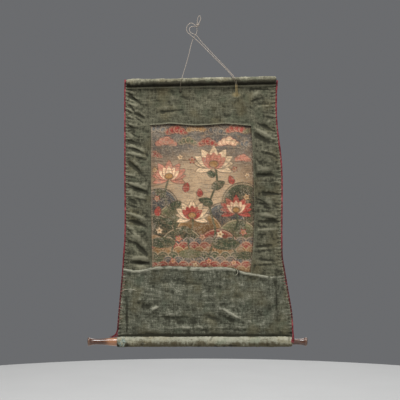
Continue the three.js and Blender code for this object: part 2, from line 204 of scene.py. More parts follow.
for lamp_name, lamp_settings in LAMPS.items():
    soft_lamp(lamp_name, **lamp_settings)
world = bpy.data.worlds.new("studio")
world.use_nodes = True
world.node_tree.nodes["Background"].inputs["Color"].default_value = (*WORLD_COLOUR, 1.0)
world.node_tree.nodes["Background"].inputs["Strength"].default_value = WORLD_STRENGTH
bpy.context.scene.world = world
bpy.context.scene.view_settings.view_transform = "Standard"

camera = bpy.data.cameras.new("camera")
camera.sensor_width = SENSOR_WIDTH
camera.lens = SENSOR_WIDTH * CAMERA_DISTANCE / PICTURE_WIDTH
camera_object = add_object("camera", camera)
camera_object.location = PICTURE_CENTRE - Vector((0, CAMERA_DISTANCE, 0))
camera_object.rotation_euler = (math.pi / 2, 0, 0)
bpy.context.scene.camera = camera_object

# The mount as it hangs. It is faded olive cotton, pulled down by the dowel, with the folds and puckers of
# long rolling. Its pieces are sewn into one surface, so its outline, seams and folds are worked out here for
# all of them.
MOUNT_THICKNESS = 1.6
MOUNT_Y = 6.0
PIECE_GAP = 0.4
BINDING_RADIUS = 2.1
HEADING = {"left": -182.4, "right": 191.6, "left_z": -166.5, "right_z": -158.5, "y": 2.0, "radius": 8.7}
CASING = {"z": -813.0, "y": 0.0, "largest_radius": 13.0}
STITCH_PITCH = 8.7

EDGE_COLUMNS = [("z", float), ("left", float), ("right", float)]
OUTLINE = np.array([
    (-150, -187, 198), (-185, -188, 195), (-255, -188, 195), (-315, -188, 201),
    (-345, -188, 205), (-390, -188, 208), (-560, -188, 208), (-600, -191, 209),
    (-630, -193, 213.5), (-690, -198, 224), (-750, -203.5, 233.5), (-805, -207.5, 236),
], dtype=EDGE_COLUMNS)
STRIP_EDGES = np.array([
    (-160, -127, 126), (-250, -127, 127), (-280, -122, 130), (-345, -121, 134),
    (-460, -121, 137), (-530, -120, 137), (-595, -118.5, 133), (-650, -118, 127),
], dtype=EDGE_COLUMNS)
SEAM_COLUMNS = [("x", float), ("z", float)]
TOP_HEM = np.array([
    (-128, -272.5), (-98, -270.5), (-78, -268.5), (-48, -270), (-10, -273),
    (40, -270.5), (65, -268.5), (100, -271.5), (132, -274),
], dtype=SEAM_COLUMNS)
BOTTOM_SEAM = np.array([
    (-195, -629), (-170, -633), (-150, -634), (-123, -628), (-98, -625), (0, -627),
    (88, -630), (106, -637), (140, -643), (177, -649), (215, -648),
], dtype=SEAM_COLUMNS)

# Each fold: its middle, half length, half width, slant in degrees, and how far it stands forward of the cloth
FOLD_COLUMNS = [(name, float) for name in ("x", "z", "reach", "width", "slant", "rise")]
LEFT_FOLDS = [
    (-168, -202, 14, 7, -35, -1.8), (-148, -245, 13, 7, -50, -1.7), (-170, -284, 14, 7, -40, -1.9),
    (-166, -312, 17, 7, 0, -1.9), (-163, -346, 22, 9, -10, 2.2), (-162, -378, 23, 7, -42, -3.4),
    (-153, -421, 26, 7, -3, 2.6), (-153, -434, 26, 6.5, -18, -2.8), (-166, -465, 18, 8, -6, -2.2),
    (-154, -500, 26, 7, -20, 2.7), (-156, -517, 23, 7, -16, -3.2), (-158, -549, 25, 9, -45, 2.6),
    (-146, -583, 18, 8, -42, -3.2), (-146, -604, 19, 6.5, 0, 2.6), (-146, -616, 19, 6, -4, -3.4),
]
RIGHT_FOLDS = [
    (140, -194, 17, 7, 28, 1.4), (164, -229, 21, 7, 0, 1.3), (168, -275, 21, 7, -30, -2.6),
    (160, -292, 25, 7.5, -33, 2.7), (151, -304, 19, 7, -30, -2.2), (161, -379, 18, 11, 0, 2.7),
    (165, -396, 19, 7, 0, -2.8), (155, -419, 14, 10, 0, 2), (173, -444, 20, 7, -6, -2.4),
    (160, -469, 15, 8, -20, -2), (170, -496, 21, 7, -6, 2.4), (180, -511, 21, 7, -8, -2.6),
    (165, -534, 25, 7, 4, 1.8), (162, -572, 25, 10, 10, -1.4),
]
TOP_FOLDS = [
    (-83, -237, 17, 7, 8, -1.7), (-64, -229, 22, 7, 6, 1.3), (-68, -212, 15, 9, 0, -1.2),
    (40, -225, 40, 14, 15, 1.2),
]
BOTTOM_FOLDS = [
    (-50, -664, 120, 15, 0, -2), (-174, -684, 19, 7, 0, 1.8), (-129, -726, 11, 11, 0, -3),
    (-113, -729, 19, 7, 28, 2.4), (-75, -747, 18, 5.5, -4, 1.5), (-52, -761, 52, 12, -4, -3),
    (37, -755, 28, 10, -18, -3), (79, -742, 32, 8, -30, 3.2), (118, -706, 32, 16, 20, 2.6),
    (170, -738, 26, 13, 45, -2.6), (196, -716, 70, 8, -86, -1.6), (-182, -740, 70, 7, 88, -1.3),
    (-117, -784, 27, 8, 0, 1.6),
]
FOLDS = np.array(LEFT_FOLDS + RIGHT_FOLDS + TOP_FOLDS + BOTTOM_FOLDS, dtype=FOLD_COLUMNS)

# Sharper creases on the same faces
LEFT_CREASES = [
    (-159, -378, 19, 3, -48, -1.2), (-151, -432, 27, 2.6, -23, -1.3), (-151, -426, 25, 3, -20, 0.8),
    (-169, -459, 10, 2.4, -15, -1), (-167, -475, 11, 2.4, -11, -1), (-161, -498, 18, 3, -20, 0.9),
    (-154, -518, 23, 2.8, -21, -1.2), (-151, -576, 21, 3, -46, -1.2), (-146, -617, 18, 2.6, -4, -1.8),
    (-171, -277, 9, 2.2, -38, -0.9), (-163, -297, 10, 2.4, -30, -0.8), (-173, -317, 9, 2.2, -15, -0.9),
    (-156, -334, 9, 2.4, -30, -0.7), (-164, -205, 20, 2.6, -40, -1.2), (-153, -248, 16, 2.4, -23, -1.1),
    (-169, -229, 11, 2.2, -58, -0.9), (-149, -260, 12, 2.2, -35, -0.8), (-170, -541, 12, 2.4, -38, -0.9),
]
RIGHT_CREASES = [
    (165, -277, 23, 2.6, -25, -1.1), (164, -294, 26, 3.4, -31, 0.4), (150, -298, 17, 2.8, -32, -0.6),
    (163, -387, 14, 9, 0, 0.9), (164, -397, 20, 2.6, 0, -1.2), (180, -443, 21, 2.4, -7, -1.1),
    (158, -462, 14, 2.2, -25, -0.9), (168, -478, 13, 2.2, -12, -0.8), (179, -500, 18, 2.6, -12, 0.8),
    (184, -513, 17, 2.4, -6, -1.1), (168, -533, 26, 2.6, 3, 0.8), (165, -574, 22, 3, 8, -0.7),
    (190, -350, 12, 2.6, -20, -0.8), (186, -415, 12, 2.4, 10, 0.7), (172, -610, 22, 3.4, -6, -0.7),
]
TOP_CREASES = [
    (-69, -237, 29, 2.6, 5, -1), (147, -182, 30, 2.4, -3, -0.8), (142, -209, 15, 2.6, 20, -0.8),
    (167, -224, 22, 2.8, 0, 0.8), (-30, -205, 26, 4, -12, -0.6), (60, -250, 30, 4, 8, -0.6),
    (100, -200, 16, 3, 35, 0.5),
]
BOTTOM_CREASES = [
    (78, -743, 32, 3, -30, 1.1), (64, -753, 28, 4, -26, -1), (-109, -729, 15, 2.6, 28, 0.8),
    (-141, -724, 8, 2.2, 60, -0.9), (-61, -752, 50, 4, -2, -0.9), (-181, -767, 33, 2, 90, -0.5),
    (193, -719, 55, 2.4, -88, -0.45), (45, -697, 45, 7, 8, 0.8), (119, -707, 22, 6, 25, 0.3),
    (-60, -776, 55, 5, 2, 0.9), (-95, -690, 34, 4, -14, 0.6), (150, -770, 28, 4, 10, 0.35),
    (10, -672, 40, 4, -6, -0.6), (-155, -744, 14, 2.4, -40, 0.7),
]
CREASES = np.array(LEFT_CREASES + RIGHT_CREASES + TOP_CREASES + BOTTOM_CREASES, dtype=FOLD_COLUMNS)

# Pleats drawn in by the stitches: a ridge just above its middle line and a trough just below it
PLEATS = np.array([
    (-171, -193, 11, 4, -10, 1.1), (-166, -204, 15, 4, -22, 1.2), (-170, -212, 12, 3.6, -15, 1.0),
    (-171, -222, 11, 3.6, -20, 1.0), (-174, -237, 9, 3.4, -30, 1.0), (-148, -244, 13, 4, -32, 1.1),
    (-173, -253, 11, 3.6, -28, 1.0), (-164, -275, 16, 4, -15, 1.0), (-166, -312, 15, 4, -15, 1.0),
    (-159, -332, 20, 4.4, -20, 1.2), (-156, -349, 22, 4.4, -15, 1.1), (-172, -399, 13, 4, -12, 1.0),
    (-150, -455, 18, 4, -12, 1.0), (-172, -532, 12, 4, -25, 1.0), (-172, -560, 12, 4, -30, 1.0),
    (162, -467, 16, 4, -10, 1.0), (166, -512, 18, 4, -10, 1.1), (158, -584, 18, 4.4, 5, 1.0),
    (166, -618, 24, 4.4, 3, 1.0), (172, -340, 18, 4, -14, 0.9), (178, -250, 16, 4, -8, 0.9),
    (-150, -712, 14, 5, 20, 0.9), (-120, -700, 16, 5, -10, 0.8), (30, -720, 40, 6, 6, 0.8),
    (150, -735, 24, 6, 38, 0.35), (-10, -782, 60, 5, 2, 0.9), (110, -782, 40, 5, -3, 0.8),
], dtype=FOLD_COLUMNS)
FOLD_GAIN = 1.15
CREASE_GAIN = 1.6
WAVES = 40


def curve_through(rows, place, value):
    """A cubic between each two rows of a table, its slope at a row the mean of the slopes beside it."""
    rows = np.sort(rows, order=place)
    places, values = rows[place], rows[value]
    steps = np.diff(values) / np.diff(places)
    slopes = np.concatenate([steps[:1], (steps[:-1] + steps[1:]) / 2, steps[-1:]])

    def at(where):
        where = np.clip(where, places[0], places[-1])
        row = np.clip(np.searchsorted(places, where) - 1, 0, len(places) - 2)
        width = places[row + 1] - places[row]
        share = (where - places[row]) / width
        start = values[row] + width * slopes[row] * share
        gap = values[row + 1] - values[row]
        bend = 3 * gap - width * (2 * slopes[row] + slopes[row + 1])
        twist = width * (slopes[row] + slopes[row + 1]) - 2 * gap
        return start + bend * share**2 + twist * share**3

    return at


outline_left = curve_through(OUTLINE, "z", "left")
outline_right = curve_through(OUTLINE, "z", "right")
strip_left = curve_through(STRIP_EDGES, "z", "left")
strip_right = curve_through(STRIP_EDGES, "z", "right")
top_hem = curve_through(TOP_HEM, "x", "z")
bottom_seam = curve_through(BOTTOM_SEAM, "x", "z")


def heading_axis_z(x):
    """The height of the heading's axis: a straight line from its left end to its right end."""
    share = (x - HEADING["left"]) / (HEADING["right"] - HEADING["left"])
    return HEADING["left_z"] + (HEADING["right_z"] - HEADING["left_z"]) * share


def roll_height(radius, roll_y):
    """How far a roll's surface stands above its axis where the mount's front face meets it.
    It is the root of the radius squared less the face's depth from the axis squared, and a gap more."""
    return math.sqrt(radius**2 - (MOUNT_Y - MOUNT_THICKNESS / 2 - roll_y) ** 2) + PIECE_GAP


def mount_top(x):
    """The mount's upper edge: the heading's axis less how far the roll reaches below it there."""
    return heading_axis_z(x) - roll_height(HEADING["radius"], HEADING["y"])


def mount_bottom(x):
    """The mount's lower edge: the casing's axis plus how far its roll reaches above it there."""
    return CASING["z"] + roll_height(CASING["largest_radius"], CASING["y"]) + 0 * x


def smoothstep(value, low, high):
    """Three times the square of the share between low and high, less twice its cube."""
    share = np.clip((value - low) / (high - low), 0, 1)
    return share * share * (3 - 2 * share)


def bell(distance, width):
    """One at no distance, then e to the minus square of the distance in widths."""
    return np.exp(-((distance / width) ** 2))


def slack(x, z):
    """0 beside the painting and the rolls, where the cloth is held flat, and 1 away from them:
    a smooth step of the distance outside the painting times one of the distance from the rolls."""
    outside = np.maximum.reduce([strip_left(z) - x, x - strip_right(z), z - top_hem(x), bottom_seam(x) - z])
    from_roll = np.minimum(mount_top(x) - z, z - mount_bottom(x))
    return smoothstep(outside, 0.5, 12) * smoothstep(from_roll, 0, 13)


def fold_rise(rows, x, z, pleated=False):
    """The sum of a table's folds: each a bell along its slant times a narrower bell across it.
    A pleat's cross bell is multiplied by its place across, so it is raised above and sunk below."""
    total = np.zeros_like(x)
    for row in rows:
        turn = math.radians(row["slant"])
        along = (x - row["x"]) * math.cos(turn) + (z - row["z"]) * math.sin(turn)
        across = (z - row["z"]) * math.cos(turn) - (x - row["x"]) * math.sin(turn)
        side = 2.3 * across / row["width"] if pleated else 1
        total += row["rise"] * side * bell(along, row["reach"]) * bell(across, row["width"])
    return total


def sway(x, z):
    """Soft upright waves of the whole mount: a sine across it times half a sine from heading to casing."""
    hang = np.clip((heading_axis_z(x) - z) / (heading_axis_z(x) - CASING["z"]), 0, 1)
    return 2.2 * np.sin(2 * np.pi * x / 190 + 0.6) * np.sin(np.pi * hang)


def cockle(places, size, seed):
    """Uneven swelling of about one unit: sine waves of about one size in scattered directions, added up
    and divided by the root of half their number."""
    draw = np.random.default_rng(seed)
    ways = draw.normal(size=(WAVES, places.shape[-1]))
    sizes = size * draw.uniform(0.7, 1.6, (WAVES, 1))
    ways *= 2 * np.pi / (sizes * np.linalg.norm(ways, axis=1, keepdims=True))
    leads = draw.uniform(0, 2 * np.pi, WAVES)
    return sum(np.sin(places @ way + lead) for way, lead in zip(ways, leads)) / math.sqrt(WAVES / 2)


def stitch_place(z):
    """Counts the overcast stitches down an edge: the way down over their pitch, plus two small sines."""
    return -z / STITCH_PITCH + 0.22 * np.sin(z / 31) + 0.15 * np.sin(z / 12.7)


def edge_pucker(x, z):
    """Each overcast stitch draws the cloth in beside the binding and lets it swell between stitches:
    less the cosine of the stitch count, fading as a bell away from the binding."""
    from_edge = np.minimum(x - outline_left(z), outline_right(z) - x) - 2 * BINDING_RADIUS
    return -0.85 * np.cos(2 * np.pi * stitch_place(z)) * bell(from_edge, 8)


def mount_forward(x, z):
    """How far the middle of the mount's cloth stands forward of its plane.
    It sways, bulges by its folds, creases and pleats where it is slack, and puckers along its edges."""
    places = np.stack([x, z], axis=-1)
    uneven = 0.34 * cockle(places, 26, 3) + 0.15 * cockle(places, 9, 4)
    folded = FOLD_GAIN * fold_rise(FOLDS, x, z) + CREASE_GAIN * fold_rise(CREASES, x, z)
    loose = folded + fold_rise(PLEATS, x, z, pleated=True) + uneven
    below_roll = smoothstep(mount_top(x) - z, 0, 10)
    return sway(x, z) + slack(x, z) * loose + edge_pucker(x, z) * below_roll


def sheet_grid(left, right, top, bottom, middle, cell):
    """Even steps across and down between four edges, settled so that the outer ones lie on the edges."""
    middle_z = (top(middle) + bottom(middle)) / 2
    rows = math.ceil((top(middle) - bottom(middle)) / cell)
    columns = math.ceil((right(middle_z) - left(middle_z)) / cell)
    down, across = np.meshgrid(np.linspace(0, 1, rows + 1), np.linspace(0, 1, columns + 1), indexing="ij")
    x = np.full_like(down, middle)
    for _ in range(5):
        z = top(x) + (bottom(x) - top(x)) * down
        x = left(z) + (right(z) - left(z)) * across
    return x, z


def grid_faces(rows, columns, start=0):
    """Quads of a grid of points, wound so that a grid going right and down faces the front."""
    corner = start + np.arange(rows - 1)[:, None] * columns + np.arange(columns - 1)
    return np.stack([corner, corner + columns, corner + columns + 1, corner + 1], axis=-1).reshape(-1, 4)


def sheet_faces(rows, columns):
    """Front and back grids, closed round their rim."""
    index = np.arange(rows * columns).reshape(rows, columns)
    rim = np.concatenate([index[:-1, 0], index[-1, :-1], index[:0:-1, -1], index[0, :0:-1]])
    after = np.roll(rim, -1)
    behind = rows * columns
    sides = np.stack([rim, rim + behind, after + behind, after], axis=1)
    back = grid_faces(rows, columns, behind)[:, ::-1]
    return np.concatenate([grid_faces(rows, columns), back, sides]).tolist()


def soft_mean(field, cells):
    """The field blurred over a square of cells each way, three times."""
    window = 2 * cells + 1
    for axis in (0, 1) * 3:
        wider = np.pad(field, [(cells, cells) if side == axis else (0, 0) for side in (0, 1)], mode="edge")
        field = np.lib.stride_tricks.sliding_window_view(wider, window, axis=axis).mean(axis=-1)
    return field


# Dark and pale marks on the mount: place, size across and down, and depth, where pale marks are negative.
# Some rows are painted light and shade: a painted shadow band just above the casing, painted shade over
# the right strip and the lower left corner, and painted light on the lower right.
MARK_COLUMNS = [(name, float) for name in ("x", "z", "across", "down", "depth")]
MARKS_AND_SHADES = np.array([
    (-47.5, -188, 5, 5, 0.9), (-133, -222, 4, 4, 0.9), (-55, -212, 16, 10, 0.3),
    (92, -196, 11, 7, -0.9), (-60, -182, 40, 4, -0.25), (97, -641, 5, 9, 1),
    # The last row of the next line is a painted shadow band just above the casing
    (-140, -616, 22, 6, 0.5), (-150, -782, 40, 9, 0.35), (10, -797, 230, 7, 0.5),
    # The last row of the next line is painted light on the lower right
    (60, -786, 110, 8, 0.25), (186, -760, 14, 40, 0.35), (140, -700, 42, 40, -0.3),
    # The first two rows of the next line are painted shade on the right strip and the lower left corner
    (165, -420, 46, 130, 0.36), (-152, -735, 36, 42, 0.33), (-20, -660, 80, 10, 0.2),
    (-181, -748, 1.6, 48, 0.6), (-176, -775, 1.2, 24, -0.5), (192, -712, 1.6, 44, 0.45),
], dtype=MARK_COLUMNS)
BROWN_TINT = (1.15, 0.98, 0.72)
GREEN_TINT = (0.7, 0.86, 0.82)
STAIN_AND_SHADE = (0.012, 0.01, 0.006)
PALE_STAIN_AND_LIGHT = (0.33, 0.27, 0.14)


def marks_and_shades_at(x, z):
    """The sum of the marks and painted shades: each its depth times a bell across and a bell down."""
    total = np.zeros_like(x)
    for row in MARKS_AND_SHADES:
        total += row["depth"] * bell(x - row["x"], row["across"]) * bell(z - row["z"], row["down"])
    return total


def tinted(colour, tint):
    """Each part of a colour times the same part of a tint."""
    return tuple(part * share for part, share in zip(colour, tint))


def woven_finish(name, ground, worn, darker, weave_depth):
    """Old olive cotton: the sum of patches, streaks and slubs both ways sets its tone from the dark colour
    to the worn one. Brown and green patches tint it. Its crests are paler, partly wear and partly painted
    highlight, its hollows darker with painted shade, and its marks darker, some of them painted shadow."""
    finish = Finish(name)
    wear_and_shade = finish.value("wear_and_shade")
    mark_and_shade = finish.value("mark_and_shade")
    patches = finish.noise(24.0, detail=4.0)
    blotches = finish.noise(150.0, detail=3.0, roughness=0.65)
    streaks = finish.noise(1.0, detail=2.0, stretch=(170.0, 200.0, 20.0))
    weft = finish.noise(1.0, detail=2.0, stretch=(45.0, 300.0, 300.0))
    warp = finish.noise(1.0, detail=2.0, stretch=(360.0, 300.0, 60.0))
    grain = finish.noise(430.0, detail=2.0, roughness=0.7)
    threads = weft * 0.6 + warp * 0.4
    tone = patches * 0.5 + blotches * 0.3 + streaks * 0.5 + threads * 1.6 + grain * 1.3 + wear_and_shade * 0.3 - 2.1
    base = finish.mix(tone.step(-0.4, 0.08), darker, ground)
    base = finish.mix(tone.step(0.04, 0.5) * 0.65, base, worn)
    brown = finish.noise(17.0, detail=3.0).step(0.48, 0.68)
    green = finish.noise(29.0, detail=2.0).step(0.52, 0.7)
    base = finish.mix(brown * 0.4, base, tinted(ground, BROWN_TINT))
    base = finish.mix(green * 0.35, base, tinted(ground, GREEN_TINT))
    # Crests and roll tops towards the worn colour: partly wear, partly painted highlight
    base = finish.mix((wear_and_shade + threads * 0.6 - 0.3).step(0.25, 1.0) * 0.7, base, worn)
    # Hollows and roll undersides towards the dark colour: painted shade
    base = finish.mix((0.0 - wear_and_shade).step(0.05, 0.5) * 0.85, base, darker)
    # Dark marks, among them painted shadow and painted shade; then pale marks, some of them painted light
    base = finish.mix(mark_and_shade.step(0.1, 0.9) * 0.85, base, STAIN_AND_SHADE)
    base = finish.mix((0.0 - mark_and_shade).step(0.1, 0.9) * 0.7, base, PALE_STAIN_AND_LIGHT)
    normal = finish.bump(threads + grain * 0.8, weave_depth * MM)
    return finish.surface(Base_Color=base, Roughness=0.92, Specular_IOR_Level=0.2, Normal=normal)


mount_finish = woven_finish(
    "faded_olive_cotton",
    ground=(0.112, 0.108, 0.071),
    worn=(0.25, 0.237, 0.163),
    darker=(0.035, 0.034, 0.022),
    weave_depth=0.5,
)
INSIDE_BINDING = 2 * BINDING_RADIUS - 0.5
TUCK = 2.5
CELL = 1.3
RELIEF_MEAN_WITHIN = 5


def mount_piece(name, edges, middle, cell, relief, crest_and_hollow_gain, finish):
    """One piece of the mount: a front and a back grid on the hanging surface, with its relief in front.
    Its wear and shade is how far the face stands proud of its mean near by, times a gain for the piece:
    pale crests are partly wear and partly painted highlight, and dark hollows are painted shade.
    Its marks are those of the table and a painted shadow line under the heading."""
    x, z = sheet_grid(*edges, middle, cell)
    forward = mount_forward(x, z)
    raised = relief(x, z)
    front = np.stack([x, MOUNT_Y - forward - MOUNT_THICKNESS / 2 - raised, z], axis=-1)
    back = np.stack([x, MOUNT_Y - forward + MOUNT_THICKNESS / 2, z], axis=-1)
    shape = forward + raised
    near_by = soft_mean(shape, round(RELIEF_MEAN_WITHIN / cell))
    # Pale crests, partly wear and partly painted highlight; dark hollows, painted shade
    wear_and_shade = np.clip(crest_and_hollow_gain * (shape - near_by) + 0.32 * raised, -1, 1)
    # Painted shadow: a dark line just under the heading roll, besides the table's marks
    mark_and_shade = marks_and_shades_at(x, z) + 0.9 * bell(mount_top(x) - z - 0.8, 2.2)
    values = {"wear_and_shade": np.stack([wear_and_shade, -wear_and_shade]), "mark_and_shade": np.stack([mark_and_shade, mark_and_shade])}
    piece = mesh_object(name, np.stack([front, back]), sheet_faces(*x.shape), finish, values)
    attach(piece, "root")
    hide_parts(name.removesuffix("_cloth"))
    return piece


# Top panel. A piece of the same cotton between the side strips. Its lower edge is turned under and sewn down
# over the painting, so it stands proud there as a wavy rolled hem.
def heading_fold(x, z):
    """The sharp fold where the cloth comes out from under the roll: a narrow bell a little below it."""
    return 1.3 * bell(mount_top(x) - z - 5, 1.7)


def hem_relief(x, z):
    """A bell along the hem plus the fold under the heading, less a step where it laps under the strips."""
    from_strip = np.minimum(x - strip_left(z), strip_right(z) - x)
    lap = -0.3 * (1 - smoothstep(from_strip, -0.5, 1.5))
    return 1.5 * bell(z - top_hem(x) - 1, 2.1) + heading_fold(x, z) + lap


def tucked_top(x):
    """The cloth goes on up into the roll."""
    return mount_top(x) + TUCK


def tucked_bottom(x):
    """The cloth goes on down into the casing."""
    return mount_bottom(x) - TUCK


top_panel = mount_piece(
    "top_panel_cloth",
    edges=(lambda z: strip_left(z) - TUCK / 2, lambda z: strip_right(z) + TUCK / 2, tucked_top, top_hem),
    middle=0.0,
    cell=CELL,
    relief=hem_relief,
    crest_and_hollow_gain=0.55,
    finish=mount_finish,
)


# Side strips. Two strips of the cotton, from the heading to the bottom seam, puckered by the sewing along
# both of their edges. The inner edge lies turned under on the painting.
def strip_relief(x, z):
    """A low bell along the inner edge beside the painting, plus the fold under the heading."""
    inner = np.maximum(strip_left(z) - x, x - strip_right(z))
    beside_painting = smoothstep(top_hem(x) - z, -4, 8)
    return 0.45 * bell(inner - 1.2, 1.8) * beside_painting + heading_fold(x, z)


def strip_bottom(x):
    """The strip goes on down under the bottom seam."""
    return bottom_seam(x) - TUCK


left_side_panel = mount_piece(
    "left_side_panel_cloth",
    edges=(lambda z: outline_left(z) + INSIDE_BINDING, strip_left, tucked_top, strip_bottom),
    middle=-152.0,
    cell=CELL,
    relief=strip_relief,
    crest_and_hollow_gain=0.9,
    finish=mount_finish,
)
right_side_panel = mount_piece(
    "right_side_panel_cloth",
    edges=(strip_right, lambda z: outline_right(z) - INSIDE_BINDING, tucked_top, strip_bottom),
    middle=165.0,
    cell=CELL,
    relief=strip_relief,
    crest_and_hollow_gain=0.9,
    finish=mount_finish,
)


# Bottom panel. A flared piece of coarser cotton. Its top edge is folded into a thick raised seam over the
# painting and the strips, broken by a small tear right of the middle.
SEAM_TEAR_X = 95.0


def seam_relief(x, z):
    """A bell below the seam's edge, widest in the middle, times its unevenness and what the tear leaves.
    It fades at the right, and the cloth is drawn back where it goes into the casing."""
    below = bottom_seam(x) - z
    whole = 1 - 0.85 * bell(x - SEAM_TEAR_X, 4)
    uneven = 1 + 0.26 * cockle(x[..., None], 34, 8) + 0.14 * cockle(np.stack([x, z], axis=-1), 10, 9)
    width = 3.4 + 1.5 * bell(x + 10, 85)
    fading = 1 - 0.9 * smoothstep(x, 170, 196)
    drawn_back = -1.6 * bell(z - mount_bottom(x), 8)
    return 2.5 * bell(below - width, width) * whole * uneven * fading + drawn_back


lower_finish = woven_finish(
    "greyer_olive_cotton",
    ground=(0.115, 0.117, 0.083),
    worn=(0.37, 0.36, 0.275),
    darker=(0.036, 0.036, 0.024),
    weave_depth=0.6,
)
bottom_panel = mount_piece(
    "bottom_panel_cloth",
    edges=(
        lambda z: outline_left(z) + INSIDE_BINDING,
        lambda z: outline_right(z) - INSIDE_BINDING,
        bottom_seam,
        tucked_bottom,
    ),
    middle=0.0,
    cell=1.4,
    relief=seam_relief,
    crest_and_hollow_gain=0.5,
    finish=lower_finish,
)

# Painted cloth. Sized cotton with a worn mineral painting of a lotus pond, with clouds above and water below.
# It is sewn in behind the mount's edges, and its back is bare.
PAINTING_THICKNESS = 1.2
PAINTING_MARGIN = 5.0
PAINTING_BEHIND = MOUNT_THICKNESS / 2 + PIECE_GAP + PAINTING_THICKNESS / 2
CREAM, BEIGE, OCHRE = np.array([(0.68, 0.5, 0.32), (0.33, 0.22, 0.13), (0.36, 0.2, 0.075)])
RED, ROSE, BROWN = np.array([(0.34, 0.06, 0.045), (0.5, 0.22, 0.15), (0.05, 0.032, 0.022)])
LEAF, PALE_LEAF, SLATE = np.array([(0.05, 0.065, 0.035), (0.17, 0.165, 0.085), (0.085, 0.095, 0.095)])
RAW_COTTON = np.array((0.38, 0.31, 0.22))
PAINT_GAIN = np.array((1.62, 1.68, 1.78))
PAINT_DEPTH = 1.25
PICTURE_FOOT_Z = -630
PICTURE_HEIGHT = 357

painting_x, painting_z = sheet_grid(
    lambda z: strip_left(z) - PAINTING_MARGIN,
    lambda z: strip_right(z) + PAINTING_MARGIN,
    lambda x: top_hem(x) + PAINTING_MARGIN,
    lambda x: bottom_seam(x) - PAINTING_MARGIN,
    middle=0.0,
    cell=1.5,
)
painting_places = np.stack([painting_x, painting_z], axis=-1)
picture = np.ones(painting_x.shape + (3,)) * BEIGE


def lay(colour, mask):
    """Lays a colour on the picture where a mask between 0 and 1 allows."""
    global picture
    picture = picture + (colour - picture) * np.clip(mask, 0, 1)[..., None]


def inside(distance, soft=1.0):
    """A soft mask from a signed distance that is negative inside a shape."""
    return 1 - smoothstep(distance, -soft, soft)


def outline_of(distance, width=1.1):
    """A line along a shape's edge: a bell of the distance from it."""
    return bell(distance, width)


def turned_about(x, z, degrees):
    """The picture's coordinates about a point, turned by an angle."""
    turn = math.radians(degrees)
    right, up = painting_x - x, painting_z - z
    return right * math.cos(turn) + up * math.sin(turn), up * math.cos(turn) - right * math.sin(turn)


def petal(x, z, length, width, degrees, colour, rim):
    """A pointed petal or leaf from its root: its half width is a sine bow along its length."""
    along, across = turned_about(x, z, degrees)
    share = np.clip(along / length, 0, 1)
    half = width * np.sin(np.pi * share**0.8) ** 0.75
    distance = np.where((along > 0) & (along < length), np.abs(across) - half, 9.0)
    lay(colour, inside(distance))
    lay(rim, 0.75 * outline_of(distance, 1.0))
    lay(rim, 0.35 * inside(distance) * bell(across, 0.8) * (share < 0.85))


def lotus(x, z, size, tip, heart):
    """An open lotus: a fan of outer petals, a fan of inner ones, and a seed head."""
    for degrees in (200, -20, 175, 5):
        petal(x, z, 0.95 * size, 0.2 * size, degrees, tip, BROWN)
    for degrees in (150, 30, 125, 55, 90):
        petal(x, z - 0.1 * size, 1.05 * size, 0.25 * size, degrees, tip, BROWN)
    for degrees in (140, 40, 115, 65, 90):
        petal(x, z - 0.12 * size, 0.74 * size, 0.19 * size, degrees, heart, RED)
    right, up = turned_about(x, z + 0.05 * size, 0)
    seed = np.hypot(right / 1.3, up) - 0.17 * size
    lay(OCHRE, inside(seed))
    lay(BROWN, 0.8 * outline_of(seed))


def lily_pad(x, z, size, flat, colour):
    """A round leaf seen aslant: a squashed disc with ribs and a pale rim."""
    right, up = turned_about(x, z, 0)
    up = up / flat
    distance = np.hypot(right, up) - size
    lay(colour, inside(distance))
    ribs = 0.5 + 0.5 * np.cos(9 * np.arctan2(up, right))
    lay(PALE_LEAF, 0.5 * inside(distance) * ribs**6)
    lay(PALE_LEAF, 0.7 * outline_of(distance + 1.6, 1.1))
    lay(BROWN, 0.7 * outline_of(distance, 0.9))


def cloud(x, z, size, colour, rim):
    """A bank of curled lobes over a flat foot, each lobe with an inner ring."""
    lobes = [(-1.5, 0.0, 0.62), (-0.7, 0.45, 0.75), (0.25, 0.6, 0.85), (1.1, 0.25, 0.7), (1.8, -0.1, 0.5)]
    for side, up, radius in lobes:
        reach = np.hypot(painting_x - x - side * size, painting_z - z - up * size) - radius * size
        reach = np.maximum(reach, z - 0.45 * size - painting_z)
        lay(colour, inside(reach))
        lay(rim, 0.8 * outline_of(reach, 0.9))
        lay(rim, 0.55 * outline_of(reach + 0.38 * radius * size, 0.8))
        lay(CREAM, 0.4 * outline_of(reach + 0.2 * radius * size, 1.2))


def stem(points, width):
    """A stalk along a curve through a few points: all that lies within its width sideways of the curve."""
    rows = np.array(points, dtype=[("z", float), ("x", float)])
    curve = curve_through(rows, "z", "x")
    reach = np.abs(painting_x - curve(painting_z)) - width
    within = (painting_z > rows["z"].min()) & (painting_z < rows["z"].max())
    lay(LEAF, inside(reach) * within)
    lay(PALE_LEAF, 0.6 * bell(reach + width, 0.7) * within)


def rosette(x, z, size, colour):
    """A small flower of five round petals about an ochre heart."""
    right, up = turned_about(x, z, 7 * x)
    reach = np.hypot(right, up)
    bloom = reach - size * (0.78 + 0.22 * np.cos(5 * np.arctan2(up, right)))
    lay(colour, inside(bloom))
    lay(BROWN, 0.85 * outline_of(bloom, 0.9))
    lay(CREAM, 0.7 * outline_of(reach - 0.5 * size, 0.8))
    lay(OCHRE, inside(reach - 0.3 * size))


